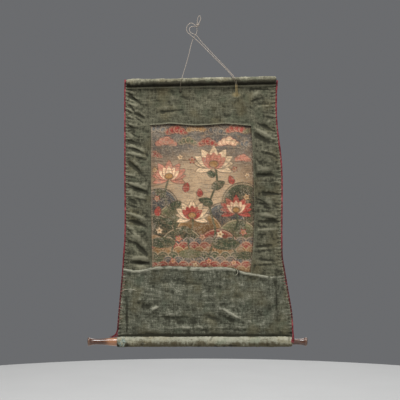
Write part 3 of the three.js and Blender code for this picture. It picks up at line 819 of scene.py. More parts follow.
# Sky, ground and hills: a hill's row is its place, size and colour
HILLS = [
    (-98, -432, 46, SLATE), (108, -418, 52, LEAF), (-60, -470, 50, PALE_LEAF),
    (62, -468, 54, SLATE), (-112, -496, 52, LEAF), (0, -492, 62, OCHRE * 0.7),
    (96, -510, 56, PALE_LEAF), (-44, -530, 60, LEAF), (46, -534, 58, RED * 0.7),
    (-118, -548, 50, OCHRE * 0.8), (120, -556, 48, SLATE),
]
height = (painting_z - PICTURE_FOOT_Z) / PICTURE_HEIGHT
lay(SLATE, 0.8 * smoothstep(height, 0.6, 0.9))
lay(LEAF * 1.4, 0.75 * smoothstep(0.42 - height, 0.0, 0.25))
glow = np.hypot((painting_x - 8) / 92, (painting_z + 420) / 78)
lay(CREAM * 0.85, 0.6 * inside(glow - 1, 0.35))
for hill_x, hill_z, hill_size, hill_colour in HILLS:
    rise = np.hypot(painting_x - hill_x, (painting_z - hill_z + hill_size) * 0.95) - hill_size
    lay(hill_colour, 0.9 * inside(rise, 1.2))
    lay(CREAM, 0.6 * outline_of(rise + 2.6, 1.2))
    lay(hill_colour * 1.8, 0.5 * outline_of(rise + 8, 1.6))
    lay(BROWN, 0.85 * outline_of(rise, 1.0))
    lay(hill_colour * 0.5, 0.6 * inside(rise + 14, 9))

# Water: rows of overlapping scales, every other row moved by half a scale
WATER_TOP_Z = -566
WATER_ROWS = 7
WATER_ROW_DROP = 12
SCALE_WIDTH = 26
SCALE_RADIUS = 15
SCALE_COLOURS = (SLATE, RED * 0.8, OCHRE * 0.7, LEAF * 1.3)
for row in range(WATER_ROWS):
    row_z = WATER_TOP_Z - WATER_ROW_DROP * row
    moved = SCALE_WIDTH / 2 * (row % 2)
    centre = np.round((painting_x - moved) / SCALE_WIDTH) * SCALE_WIDTH + moved
    ring = np.hypot(painting_x - centre, painting_z - row_z) - SCALE_RADIUS
    mask = inside(ring)
    lay(SCALE_COLOURS[row % 4], mask)
    lay(CREAM * 0.8, 0.8 * outline_of(ring + 1, 1.1) * mask)
    lay(CREAM * 0.6, 0.7 * outline_of(ring + 7, 1.0) * mask)

# Clouds, stalks, leaves and flowers: rows of the arguments that their functions take
CLOUDS = [
    (-104, -286, 12, SLATE * 1.6, BROWN), (-58, -290, 13, RED, BROWN), (-8, -284, 12, OCHRE, BROWN),
    (40, -291, 13, SLATE * 1.3, BROWN), (92, -286, 13, RED * 1.1, BROWN), (128, -290, 9, PALE_LEAF, BROWN),
    (-84, -318, 12, ROSE, RED), (-30, -316, 11, LEAF * 1.6, BROWN), (20, -320, 12, RED, BROWN),
    (72, -318, 12, CREAM, RED), (116, -324, 11, SLATE * 1.5, BROWN), (-114, -350, 10, RED * 0.9, BROWN),
    (108, -358, 9, ROSE, RED),
]
LILY_PADS = [
    (-92, -566, 32, 0.42, LEAF), (66, -570, 36, 0.4, LEAF * 1.2), (-22, -594, 30, 0.38, PALE_LEAF * 0.8),
    (112, -598, 26, 0.4, LEAF), (-112, -606, 24, 0.4, LEAF * 1.3),
]
LEAVES = [
    (-84, -450, 34, 10, 150), (-74, -480, 34, 10, 30), (30, -430, 38, 11, 25), (34, -470, 38, 11, 160),
    (40, -400, 26, 8, 150), (94, -530, 30, 9, 40), (-22, -540, 28, 8, 150), (-66, -520, 30, 9, 150),
]
BUDS = [(-36, -440, 26, 9, 75), (84, -420, 24, 8, 110), (-106, -500, 26, 9, 80), (2, -452, 22, 8, 95)]
ROSETTES = [
    (-106, -455, 9, RED), (-52, -556, 10, RED * 1.1), (8, -552, 9, ROSE), (52, -545, 10, CREAM),
    (118, -452, 9, OCHRE), (110, -540, 10, RED), (-100, -536, 9, CREAM), (-18, -360, 9, RED),
    (-48, -352, 8, CREAM), (88, -382, 8, RED), (120, -398, 8, CREAM), (-112, -384, 8, OCHRE),
    (-66, -612, 9, RED), (24, -612, 9, RED * 1.1), (86, -616, 9, ROSE), (-10, -622, 8, CREAM),
]
for cloud_row in CLOUDS:
    cloud(*cloud_row)
stem([(-600, -70), (-520, -62), (-450, -86), (-395, -74)], 2.4)
stem([(-605, 22), (-540, 40), (-470, 26), (-410, 44), (-362, 36)], 2.6)
stem([(-600, 92), (-560, 84), (-510, 96), (-478, 92)], 2.2)
stem([(-600, -20), (-560, -28), (-520, -16), (-500, -18)], 2.0)
for pad in LILY_PADS:
    lily_pad(*pad)
for leaf in LEAVES:
    petal(*leaf, LEAF * 1.3, BROWN)
lotus(-76, -402, 46, ROSE, CREAM)
lotus(36, -372, 52, CREAM, ROSE)
lotus(92, -486, 42, RED * 1.15, CREAM)
lotus(-18, -500, 44, CREAM, RED)
for bud in BUDS:
    petal(*bud, RED * 1.15, BROWN)
for flower in ROSETTES:
    rosette(*flower)

# Age: fading towards the bare ground, rubbed patches, and roll creases, each with its height and depth
ROLL_CREASES = [(-362, 0.5), (-438, 0.25), (-452, 0.3), (-476, 0.4), (-489, 0.25), (-548, 0.3)]
worn = 0.12 + 0.09 * cockle(painting_places, 46, 21) + 0.1 * cockle(painting_places, 13, 22)
worn += 0.12 * cockle(painting_places, 5, 23)
lay(BEIGE, np.clip(worn, 0, 0.85))
for roll_z, roll_depth in ROLL_CREASES:
    wander = roll_z + 2 * np.sin(painting_x / 37 + roll_z)
    lay(BROWN, roll_depth * bell(painting_z - wander, 1.2) * (0.6 + 0.4 * cockle(painting_places, 18, 31)))
uneven_fading = 1 + 0.07 * cockle(painting_places, 90, 33)
picture = PAINT_GAIN * picture**PAINT_DEPTH * uneven_fading[..., None]

# Painted shade along the mount's edges: a dark margin, painted shadow lines under the top hem and beside
# the right strip, and a painted highlight along the left strip's edge
from_left = painting_x - strip_left(painting_z)
from_right = strip_right(painting_z) - painting_x
from_top = top_hem(painting_x) - painting_z
from_foot = painting_z - bottom_seam(painting_x)
from_edge = np.minimum(np.minimum(from_left, from_right), np.minimum(from_top, from_foot))
# Painted shade: a dark margin along all edges
lay(BROWN, 0.35 * (1 - smoothstep(from_edge, 0, 14)))
# Painted shadow under the top hem
lay(BROWN * 0.4, 0.9 * bell(from_top - 1.6, 2.2))
# Painted shadow beside the right strip
lay(BROWN * 0.4, 0.75 * bell(from_right - 1.2, 1.7))
# Painted highlight along the left strip's edge
lay(CREAM * 0.7, 0.5 * bell(from_left - 2, 1.5))


def painted_finish():
    """Worn distemper on cotton: the picture held by the mesh, over a fine weave.
    Noise masks mix in bare cotton where it is flaked, and dark lines where it is cracked and rubbed."""
    finish = Finish("worn_distemper")
    picture_colour = finish.node("ShaderNodeAttribute", {"attribute_name": "picture"})
    flakes = finish.noise(300.0, detail=4.0, roughness=0.7)
    dust = finish.noise(36.0, detail=3.0)
    cells = {"Vector": finish.place((1.0, 1.0, 1.6)), "Scale": 260.0}
    cracks = finish.node("ShaderNodeTexVoronoi", {"feature": "DISTANCE_TO_EDGE"}, cells)
    lost = (flakes + dust * 0.4).step(0.7, 0.84)
    colour = finish.mix(lost * 0.65, picture_colour, tuple(RAW_COTTON * 1.05))
    dark = (flakes + dust * 0.5).step(0.7, 0.55)
    colour = finish.mix(dark * 0.5, colour, (0.06, 0.04, 0.028))
    lines = finish.noise(1.0, detail=2.0, stretch=(45.0, 100.0, 420.0))
    colour = finish.mix(lines.step(0.48, 0.36) * 0.4, colour, (0.07, 0.05, 0.035))
    colour = finish.mix(lines.step(0.58, 0.72) * 0.3, colour, (0.5, 0.38, 0.25))
    colour = finish.mix(cracks.step(0.06, 0.0) * 0.35, colour, (0.05, 0.035, 0.025))
    weave = finish.noise(1.0, detail=1.0, stretch=(300.0, 300.0, 1100.0))
    weave = weave + finish.noise(1.0, detail=1.0, stretch=(1100.0, 300.0, 300.0))
    height = weave * 0.5 + cracks.step(0.0, 0.08) * 0.5 - lost * 0.4
    normal = finish.bump(height, 0.25 * MM)
    rough = flakes * 0.2 + 0.66
    return finish.surface(Base_Color=colour, Roughness=rough, Specular_IOR_Level=0.25, Normal=normal)


painting_forward = sway(painting_x, painting_z) + 0.1 * cockle(painting_places, 40, 35)
painting_mid_y = MOUNT_Y - painting_forward + PAINTING_BEHIND
painting_sides = [
    np.stack([painting_x, painting_mid_y + side * PAINTING_THICKNESS / 2, painting_z], axis=-1)
    for side in (-1, 1)
]
painting = mesh_object(
    "painting_panel_cloth",
    np.stack(painting_sides),
    sheet_faces(*painting_x.shape),
    painted_finish(),
    colours={"picture": np.stack([picture, np.ones_like(picture) * RAW_COTTON])},
)
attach(painting, "root")
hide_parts("painting_panel")


# Heading. The mount's top edge is rolled into a firm tube of olive cotton that tilts up to the right. Its
# ends are tucked in. Its upper side is paler, partly rubbed and partly painted light from above, and its
# underside is painted darker as shade.
def roll_piece(name, profile, axis, sides, finish, lumps, darkening, node):
    """A cloth roll about an axis near X: its radius along the outside and back along the inside, plus lumps.
    It is paler facing up and darker facing down, painted light and shade from above with some wear, and
    marked by blotches and the darkening it is given, which holds painted shade."""
    along, radius, firm = profile
    turn = np.linspace(0, 2 * np.pi, sides, endpoint=False)
    across = np.stack([-np.cos(turn), np.sin(turn)], axis=-1)
    place = np.broadcast_to(along[:, None], (len(along), sides))
    solid = np.stack([place, across[:, 0] * radius[:, None], across[:, 1] * radius[:, None]], axis=-1)
    swell = lumps[0] * cockle(solid, 30, 41) + lumps[1] * cockle(solid, 10, 42)
    swell = swell + lumps[1] * cockle(solid * (1.0, 0.3, 0.3), 7, 44)
    grown = radius[:, None] + swell * (1 - firm[:, None])
    axis_y, axis_z = axis(place)
    points = np.stack([place, axis_y + across[:, 0] * grown, axis_z + across[:, 1] * grown], axis=-1)
    up = across[None, :, 1] + 0 * place
    # Painted light on the upper side, painted shade underneath, and wear on the lumps
    wear_and_shade = 0.6 * smoothstep(up, -0.2, 0.9) - 0.62 * smoothstep(-up, -0.5, 0.95) + 0.14 * swell / max(lumps)
    wear_and_shade = np.clip(wear_and_shade, -1, 1)
    # Blotches, plus the darkening given for the roll: painted shade underneath
    mark_and_shade = 0.5 * smoothstep(cockle(solid, 16, 43), 0.8, 2) + darkening(place, up)
    index = np.arange(len(along) * sides).reshape(len(along), sides)
    after = np.roll(index, -1, axis=1)
    next_ring = np.roll(index, -1, axis=0)
    next_after = np.roll(after, -1, axis=0)
    faces = np.stack([index, after, next_after, next_ring], axis=-1).reshape(-1, 4).tolist()
    piece = mesh_object(name, points, faces, finish, {"wear_and_shade": wear_and_shade, "mark_and_shade": mark_and_shade})
    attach(piece, "root")
    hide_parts(node)
    return piece


def roll_profile(outside, inner_radius, cell, tucked):
    """Along the outside from left to right, in at the right end, and back along the inside wall.
    Tucked ends are turned in almost to the axis before the inside wall starts."""
    places = np.arange(outside["x"].min(), outside["x"].max() + cell / 2, cell)
    outer = curve_through(outside, "x", "radius")(places)
    left, right = places[0], places[-1]
    inside_wall = [(right, inner_radius), (left, inner_radius)]
    if tucked:
        inside_wall = [(right + 0.6, 1.2), (right - 2, 1.2), (right - 2, inner_radius)]
        inside_wall += [(left + 2, inner_radius), (left + 2, 1.2), (left - 0.6, 1.2)]
    along = np.concatenate([places, [place for place, _ in inside_wall]])
    radius = np.concatenate([outer, [wall for _, wall in inside_wall]])
    firm = np.concatenate([np.zeros(len(places)), np.ones(len(inside_wall))])
    return along, radius, firm


# How much thinner the heading is at each share of its length
HEADING_SHRINK = np.array([
    (0, 3.6), (0.005, 1.5), (0.015, 0.3), (0.15, 0), (0.3, 0.4), (0.5, 0.1),
    (0.7, 0.4), (0.88, 0), (0.985, 0.4), (0.995, 1.5), (1, 3.6),
])
HEADING_BORE = 6.9
RADIUS_COLUMNS = [("x", float), ("radius", float)]
heading_length = HEADING["right"] - HEADING["left"]
heading_outside = np.array(
    [(HEADING["left"] + share * heading_length, HEADING["radius"] - less) for share, less in HEADING_SHRINK],
    dtype=RADIUS_COLUMNS,
)
# A lighter copy of the mount's cotton: painted light on the roll, and partly its rubbing
heading_finish = woven_finish(
    "rubbed_and_lit_olive_cotton",
    ground=(0.15, 0.142, 0.098),
    worn=(0.36, 0.34, 0.25),
    darker=(0.05, 0.046, 0.03),
    weave_depth=0.5,
)
heading = roll_piece(
    "heading_roll_cloth",
    roll_profile(heading_outside, HEADING_BORE, CELL, tucked=True),
    axis=lambda x: (HEADING["y"] + 0 * x, heading_axis_z(x)),
    sides=56,
    finish=heading_finish,
    lumps=(0.3, 0.12),
    # Painted shade on the heading's underside
    darkening=lambda x, up: 0.8 * smoothstep(-up, 0.4, 0.9),
    node="heading_roll",
)

# Bottom casing. The mount's lower edge is sewn into a tube of cotton for the dowel. It is paler on top,
# partly worn and partly painted light from above, and darker and brown below as painted shade. It is
# darker in a band at its left end, and fuller there.
CASING_OUTSIDE = np.array([
    (-205, 12.4), (-196, 13), (-160, 12.4), (-100, 12.7), (-40, 12.3),
    (30, 12.7), (95, 12.3), (160, 12.6), (222, 12.5), (231, 12),
], dtype=RADIUS_COLUMNS)
DOWEL_RADIUS = 10.4
CASING_LEFT_X = -206
casing_finish = woven_finish(
    "pale_worn_and_lit_cotton",
    ground=(0.27, 0.265, 0.195),
    worn=(0.4, 0.39, 0.3),
    darker=(0.085, 0.07, 0.04),
    weave_depth=0.5,
)
casing = roll_piece(
    "bottom_casing_cloth",
    roll_profile(CASING_OUTSIDE, DOWEL_RADIUS + PIECE_GAP, CELL, tucked=False),
    axis=lambda x: (CASING["y"] + 0 * x, CASING["z"] + 0 * x),
    sides=64,
    finish=casing_finish,
    lumps=(0.25, 0.12),
    # Painted shade on the casing's underside, and a dark band at its left end
    darkening=lambda x, up: 0.35 * smoothstep(-up, 0.35, 0.85) + 0.6 * bell(x - CASING_LEFT_X, 3.5),
    node="bottom_casing",
)

# Dowel. One turned rod of wood under an old copper brown lacquer, with a spool-shaped knob at each end. It
# has slid to the left in its casing, so the left knob shows whole and the right one only its end.
DOWEL_LEFT = -278.0
DOWEL_RIGHT = 269.0
DOWEL_SIDES = 56
DOWEL_STEPS = 40
PLAIN_FROM_END = 80
KNOB = np.array([
    (0, 9.2), (1.5, 10.6), (4.5, 10.7), (7, 9.4), (13, 8), (24, 7.4), (38, 7.8), (52, 9), (64, 10.1),
    (72, DOWEL_RADIUS),
], dtype=RADIUS_COLUMNS)


def dowel_finish():
    """Lacquered wood: grain between two browns, then cloudy patches, worn ends and rubbed necks."""
    finish = Finish("copper_brown_lacquer")
    grain = finish.noise(1.0, detail=4.0, stretch=(30.0, 420.0, 420.0))
    cloudy = finish.noise(60.0, detail=3.0)
    rings = finish.noise(1.0, detail=2.0, stretch=(900.0, 30.0, 30.0))
    colour = finish.mix(grain.step(0.3, 0.7), (0.04, 0.014, 0.006), (0.12, 0.043, 0.018))
    colour = finish.mix(cloudy.step(0.5, 0.72) * 0.5, colour, (0.28, 0.15, 0.09))
    colour = finish.mix(finish.value("wear_and_shade").step(0.2, 0.9) * 0.6, colour, (0.16, 0.085, 0.05))
    recoloured = (finish.value("recoloured") + grain * 0.5 - 0.25).step(0.1, 0.9)
    colour = finish.mix(recoloured * 0.8, colour, (0.42, 0.19, 0.09))
    return finish.surface(
        Base_Color=colour,
        Roughness=cloudy * 0.1 + 0.28,
        Coat_Weight=0.5,
        Coat_Roughness=0.22,
        Normal=finish.bump(rings * 0.3 + grain * 0.3, 0.03 * MM),
    )


def dowel_piece():
    """The radius of knob, plain rod and knob again, turned about the axis and capped at both ends."""
    # Half millimetre steps over the knob's flange, then whole ones along its neck
    inwards = np.concatenate([np.linspace(0, 8, 17), np.linspace(9, 72, 64)])
    radius = curve_through(KNOB, "x", "radius")(inwards)
    middle = np.linspace(DOWEL_LEFT + PLAIN_FROM_END, DOWEL_RIGHT - PLAIN_FROM_END, DOWEL_STEPS)
    along = np.concatenate([DOWEL_LEFT + inwards, middle, DOWEL_RIGHT - inwards[::-1]])
    radius = np.concatenate([radius, np.full(DOWEL_STEPS, DOWEL_RADIUS), radius[::-1]])
    turn = np.linspace(0, 2 * np.pi, DOWEL_SIDES, endpoint=False)
    place = np.broadcast_to(along[:, None], (len(along), DOWEL_SIDES))
    y = -np.cos(turn) * radius[:, None]
    z = CASING["z"] + np.sin(turn) * radius[:, None]
    index = np.arange(len(along) * DOWEL_SIDES).reshape(len(along), DOWEL_SIDES)
    after = np.roll(index, -1, axis=1)
    faces = np.stack([index[:-1], after[:-1], after[1:], index[1:]], axis=-1).reshape(-1, 4).tolist()
    faces += [index[0, ::-1].tolist(), index[-1].tolist()]
    from_end = np.minimum(place - DOWEL_LEFT, DOWEL_RIGHT - place)
    values = {"wear_and_shade": bell(from_end - 3, 3), "recoloured": bell(from_end - 66, 22)}
    return mesh_object("dowel_rod", np.stack([place, y, z], axis=-1), faces, dowel_finish(), values)


dowel = dowel_piece()
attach(dowel, "root")
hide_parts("dowel")


# Binding. A strip of faded red cotton is rolled over the edge down both sides and overcast. At the lower left
# its end sticks out over the dowel, and at the lower right it turns forward past the end of the casing.
def carried(paths, radii, sides, lobes=0.0, lay_length=1.0):
    """Tubes along paths: a ring of points at each step, square to the path, carried along it without twist.
    The radius may have three lobes that turn once in each lay length, as plied yarn does."""
    steps = np.gradient(paths, axis=1)
    ways = steps / np.linalg.norm(steps, axis=2, keepdims=True)
    side = np.cross(ways[:, 0], np.where(np.abs(ways[:, 0, 2:]) > 0.9, (1.0, 0.0, 0.0), (0.0, 0.0, 1.0)))
    rims = np.empty_like(paths)
    for step in range(paths.shape[1]):
        side = side - ways[:, step] * np.sum(side * ways[:, step], axis=1, keepdims=True)
        side = side / np.linalg.norm(side, axis=1, keepdims=True)
        rims[:, step] = side
    across = np.cross(ways, rims)
    turn = np.linspace(0, 2 * np.pi, sides, endpoint=False)
    strides = np.linalg.norm(np.diff(paths, axis=1), axis=2)
    length = np.concatenate([np.zeros_like(paths[:, :1, 0]), np.cumsum(strides, axis=1)], axis=1)
    swell = 1 + lobes * np.cos(3 * (turn - 2 * np.pi * length[..., None] / lay_length))
    radius = (np.broadcast_to(radii, paths.shape[:2])[..., None] * swell)[..., None]
    ring = rims[:, :, None] * np.cos(turn)[:, None] + across[:, :, None] * np.sin(turn)[:, None]
    return paths[:, :, None] + ring * radius


def tube_faces(tubes, steps, sides):
    """Quads along each tube and a cap at each end."""
    index = np.arange(tubes * steps * sides).reshape(tubes, steps, sides)
    after = np.roll(index, -1, axis=2)
    walls = np.stack([index[:, :-1], after[:, :-1], after[:, 1:], index[:, 1:]], axis=-1).reshape(-1, 4)
    caps = np.concatenate([index[:, 0, ::-1], index[:, -1]])
    return walls.tolist() + caps.tolist()


def smooth_path(points, step):
    """An even path along a curve through a few points, each coordinate a cubic of the length so far."""
    points = np.asarray(points, dtype=float)
    for _ in range(2):
        far = np.concatenate([[0], np.cumsum(np.linalg.norm(np.diff(points, axis=0), axis=1))])
        columns = [(name, float) for name in ("far", "x", "y", "z")]
        rows = np.array([(place, *point) for place, point in zip(far, points)], dtype=columns)
        even = np.linspace(0, far[-1], math.ceil(far[-1] / step) + 1)
        points = np.stack([curve_through(rows, "far", axis)(even) for axis in "xyz"], axis=1)
    return points


def red_finish():
    """Faded red cotton: noise from dark to red, then pink where it is worn, and nearly black over a stretch
    low down.
    """
    finish = Finish("faded_red_cotton")
    rub = finish.noise(130.0, detail=3.0, roughness=0.6)
    threads = finish.noise(700.0, detail=2.0)
    colour = finish.mix(rub.step(0.35, 0.7), (0.13, 0.018, 0.022), (0.33, 0.055, 0.065))
    colour = finish.mix((rub + threads * 0.6).step(0.85, 1.1) * 0.6, colour, (0.5, 0.19, 0.19))
    colour = finish.mix(finish.value("darker") * 0.75, colour, (0.05, 0.012, 0.012))
    normal = finish.bump(threads + rub * 0.5, 0.4 * MM)
    return finish.surface(Base_Color=colour, Roughness=0.9, Specular_IOR_Level=0.2, Normal=normal)


BINDING_TOP_Z = {"left": -158.5, "right": -161.0}
BINDING_TAIL_Z = -782.0
BINDING_STEPS = 260
BINDING_STEP = 1.2
BINDING_SIDES = 14
TAPERED_STEPS = 16
# The heights between which the binding is darker: where the darkening starts, is full, thins and ends
DARKENED_Z = {"left": (-628, -652, -778, -794), "right": (-540, -600, -748, -768)}
LEFT_TAIL = [(-206.2, 6, -790), (-210, 5.4, -796), (-217, 4.4, -800.5)]
RIGHT_TAIL = [(233.9, 4, -791), (234.3, -2, -798), (234.4, -8.5, -804), (234.4, -10.8, -812)]
red_cotton = red_finish()


def binding_piece(name, edge, inwards, top_z, tail, darker):
    """A tube one radius inside the mount's edge, on its hanging surface, and on along its tail.
    It is drawn in at each stitch, uneven, and tapered at its end."""
    z = np.linspace(top_z, BINDING_TAIL_Z, BINDING_STEPS)
    x = edge(z) + inwards * BINDING_RADIUS
    route = np.stack([x, MOUNT_Y - mount_forward(x, z) + edge_pucker(x, z), z], axis=1)
    path = smooth_path(np.concatenate([route, np.array(tail, dtype=float)]), BINDING_STEP)[None]
    drawn_in = 1 - 0.05 * bell((stitch_place(path[..., 2]) + 0.5) % 1 - 0.5, 0.16)
    uneven = 1 + 0.05 * cockle(path, 18, 51)
    steps = path.shape[1]
    tapered = np.interp(np.arange(steps), [steps - TAPERED_STEPS, steps - 1], [1, 0.45])
    rings = carried(path, BINDING_RADIUS * drawn_in * uneven * tapered, BINDING_SIDES)
    from_z, full_z, until_z, end_z = darker
    darkening = smoothstep(rings[..., 2], from_z, full_z) * smoothstep(rings[..., 2], end_z, until_z)
    piece = mesh_object(name, rings, tube_faces(1, steps, BINDING_SIDES), red_cotton, {"darker": darkening})
    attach(piece, "root")
    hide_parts(name.removesuffix("_roll"))
    return piece


left_binding = binding_piece(
    "left_edge_binding_roll", outline_left, 1, BINDING_TOP_Z["left"], LEFT_TAIL, DARKENED_Z["left"]
)
right_binding = binding_piece(
    "right_edge_binding_roll", outline_right, -1, BINDING_TOP_Z["right"], RIGHT_TAIL, DARKENED_Z["right"]
)


# Overcast stitches. Coarse olive thread whipped along each binding. Each stitch leaves the cloth a few
# millimetres inside the edge and goes on a slant to the binding, or over it near the foot.
def thread_finish(name, dark, light, second=None):
    """Twisted thread: noise between a dark and a light shade, and a second colour where the mesh says so."""
    finish = Finish(name)
    yarn = finish.noise(500.0, detail=2.0)
    colour = finish.mix(yarn.step(0.35, 0.65), dark, light)
    if second:
        colour = finish.mix(finish.value("second") * finish.noise(70.0).step(0.42, 0.58), colour, second)
    normal = finish.bump(yarn, 0.2 * MM)
    return finish.surface(Base_Color=colour, Roughness=0.9, Specular_IOR_Level=0.2, Normal=normal)


STITCH_RADIUS = 0.5
STITCH_STEPS = 11
STITCHES_TOP_Z = -176
STITCHES_FOOT_Z = -775
STITCHES_CROSS_Z = -640
THREAD_SIDES = 6
COUNTING_STEPS = 4000
olive_thread = thread_finish("olive_thread", (0.15, 0.14, 0.09), (0.4, 0.38, 0.27), (0.5, 0.27, 0.22))


def stitch_piece(name, edge, inwards, stop, seed):
    """A stitch runs from its reach inside the binding to a stop in binding radii, or across it lower down.
    It is lifted by the binding's roundness or half the cloth, whichever is more, and sunk at its start."""
    draw = np.random.default_rng(seed)
    places = np.linspace(STITCHES_TOP_Z, STITCHES_FOOT_Z, COUNTING_STEPS)
    count = stitch_place(places)
    starts = np.interp(np.arange(math.ceil(count.min()), math.floor(count.max())), count, places)
    reach = draw.uniform(4.0, 6.5, (len(starts), 1))
    slant = draw.uniform(1.2, 3.0, (len(starts), 1))
    share = np.linspace(0, 1, STITCH_STEPS)
    z = starts[:, None] + slant * (0.5 - share)
    inner = 2 * BINDING_RADIUS + reach
    outer = np.where(starts[:, None] > STITCHES_CROSS_Z, stop * BINDING_RADIUS, 0.3)
    x_in = inner * (1 - share) + outer * share
    x = edge(z) + inwards * x_in
    aside = (x_in - BINDING_RADIUS) / BINDING_RADIUS
    over_binding = np.sqrt(np.clip(1 - aside**2, 0, 1)) * BINDING_RADIUS
    over_cloth = MOUNT_THICKNESS / 2 * smoothstep(x_in, BINDING_RADIUS, 2.4 * BINDING_RADIUS)
    lift = np.maximum(over_binding, over_cloth) + STITCH_RADIUS * 0.5 - 1.1 * bell(share, 0.12)
    y = MOUNT_Y - mount_forward(x, z) - lift
    rings = carried(np.stack([x, y, z], axis=-1), STITCH_RADIUS, THREAD_SIDES)
    second = np.broadcast_to(starts[:, None, None] < STITCHES_CROSS_Z, rings.shape[:3])
    faces = tube_faces(len(starts), STITCH_STEPS, THREAD_SIDES)
    piece = mesh_object(name, rings, faces, olive_thread, {"second": second})
    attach(piece, "root")
    return piece


left_stitches = stitch_piece("left_edge_stitches", outline_left, 1, stop=1.75, seed=61)
right_stitches = stitch_piece("right_edge_stitches", outline_right, -1, stop=0.9, seed=62)

# Hanging cord. One limp cord of plied cotton: out of the left hole, over the heading, up to the hanging loop,
# round a slack ring and down to the right hole. Its second strand comes back up and is hitched round the
# loop's neck.
CORD_RADIUS = 0.8
CORD_LAY = 5.0
CORD_LOBES = 0.07
CORD_CORE = 0.94
CORD_SIDES = 15
CORD_STEP = 0.8
SHADED_Z = (-153, -160)
SEWN_Z = (-170, -175)
HITCH = {"x": -3.7, "y": 0.0, "z": -23.8, "radius": 4.0, "pitch": 2.2, "turns": 1.6}
HITCH_STEPS = 8


def cord_hole(x, z):
    """Where a cord goes into the cloth: a point behind its face, and one a little above in front of it."""
    face = MOUNT_Y - float(mount_forward(np.array([x]), np.array([z]))[0]) - MOUNT_THICKNESS / 2
    return (x, face + 1.5, z - 1.5), (x, face - 1.0, z + 0.5)


hanging_route = [
    *cord_hole(-47.5, -187.5), (-46.2, -6.6, -168.8), (-45, -7.95, -163), (-43.25, -7.5, -156.75),
    (-28.6, -4.4, -106.75), (-14, 1.3, -54.25), (-8.2, 1.3, -46), (-5.6, 1.2, -37.5), (-6.1, 1, -29.5),
    (-5.4, 0.9, -21.5), (-4.6, 0.5, -12), (-3.2, 0.2, -4.5), (0.2, 0, 0.8), (3.4, -0.2, -4.8),
    (2.4, -0.5, -12), (-1, -0.85, -17.8), (-2, -0.95, -22.3), (-2.8, -1.1, -25.6), (-5.6, -1.3, -27.6),
    (-9, -1.35, -25.6), (-13.5, -1.2, -20.8), (-20.75, -1, -18), (-28, -1, -22.5), (-31.8, -1, -30.5),
    (-30.5, -1.1, -39.5), (-23, -1.2, -46.6), (-14.6, -1.3, -53.6), (-2.2, -1.8, -64.6),
    (39.25, -4.2, -106.75), (79.25, -7.2, -148), (86.8, -7.95, -159.8), (88.6, -7.6, -163.8),
    *cord_hole(91.75, -199.25)[::-1],
]
hitch_turn = np.arange(round(HITCH["turns"] * HITCH_STEPS) + 1) / HITCH_STEPS
hitch_angle = np.pi / 2 - 2 * np.pi * hitch_turn
hitch_route = np.stack([
    HITCH["x"] + HITCH["radius"] * np.cos(hitch_angle),
    HITCH["y"] + HITCH["radius"] * np.sin(hitch_angle),
    HITCH["z"] + HITCH["pitch"] * hitch_turn,
], axis=1)
return_route = [
    *cord_hole(94.9, -196.75), (91.9, -7.6, -163.9), (90.1, -7.95, -159.4), (81.2, -7, -146.4),
    (42, -4, -104.1), (18.2, -2.4, -78.6), (2, -1.6, -60.8), (-4.6, -1.4, -51.6), (-11.5, -1.3, -46.4),
    (-17.5, -1, -44), (-22.8, -0.6, -40.6), (-24.6, -0.3, -34.5), (-22.3, 0.2, -28.4), (-17, 0.7, -26.2),
    (-11, 2.2, -26.8), (-7.2, 3.7, -25.2), *hitch_route.tolist(),
]


def cord_finish():
    """Plied yarn: noise between two grey browns, mixed to dark as painted shade from the heading down.
    It is mixed to ochre where it is sewn in."""
    finish = Finish("grey_brown_yarn")
    yarn = finish.noise(500.0, detail=2.0)
    colour = finish.mix(yarn.step(0.35, 0.65), (0.33, 0.28, 0.23), (0.46, 0.4, 0.34))
    # Painted shade on the strands over the heading and below it
    colour = finish.mix(finish.value("recoloured") * 0.85, colour, (0.13, 0.11, 0.07))
    colour = finish.mix(finish.value("sewn") * 0.85, colour, (0.5, 0.38, 0.17))
    normal = finish.bump(yarn, 0.2 * MM)
    return finish.surface(Base_Color=colour, Roughness=0.9, Specular_IOR_Level=0.2, Normal=normal)


cord_yarn = cord_finish()


def cord_piece(name, node, route):
    """One strand: a tube of three turning lobes along its route, its length the sum of the route's steps.
    It is painted darker from the heading down, as shade, and on the right it is sewn in below the heading."""
    path = smooth_path(route, CORD_STEP)
    rings = carried(path[None], CORD_RADIUS * CORD_CORE, CORD_SIDES, lobes=CORD_LOBES, lay_length=CORD_LAY)
    # Painted shade from the heading down
    recoloured = smoothstep(rings[..., 2], *SHADED_Z)
    sewn = smoothstep(rings[..., 2], *SEWN_Z) * (rings[..., 0] > 0)
    values = {"recoloured": recoloured, "sewn": sewn}
    piece = mesh_object(name, rings, tube_faces(1, len(path), CORD_SIDES), cord_yarn, values)
    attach(piece, "root")
    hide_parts(node)
    tuple(path[0] * MM)
    (path * MM).tolist()


cord_piece("hanging_cord_yarn", "hanging_cord", hanging_route)
cord_piece("return_cord_yarn", "return_cord", return_route)


# Loose threads. A pulled pale thread of the cotton on the lower left of the mount and one curled out of the
# torn seam, the bindings' frayed red ends, and a worn patch of turquoise and undyed threads sewn to the
# casing's left end.
def on_mount(x, z, lift):
    """Points off the mount's face: its middle less half its thickness, its seam's relief and the lift."""
    face = MOUNT_Y - mount_forward(x, z) - MOUNT_THICKNESS / 2 - seam_relief(x, z) * (z < bottom_seam(x))
    return np.stack([x, face - lift, z], axis=-1)


def thread_piece(name, paths, radius, finish, second=0.0):
    """Round tubes of one radius along paths, holding how far each is of the second colour."""
    rings = carried(paths, radius, THREAD_SIDES)
    values = {"second": np.broadcast_to(second, rings.shape[:3])}
    faces = tube_faces(paths.shape[0], paths.shape[1], THREAD_SIDES)
    piece = mesh_object(name, rings, faces, finish, values)
    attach(piece, "root")


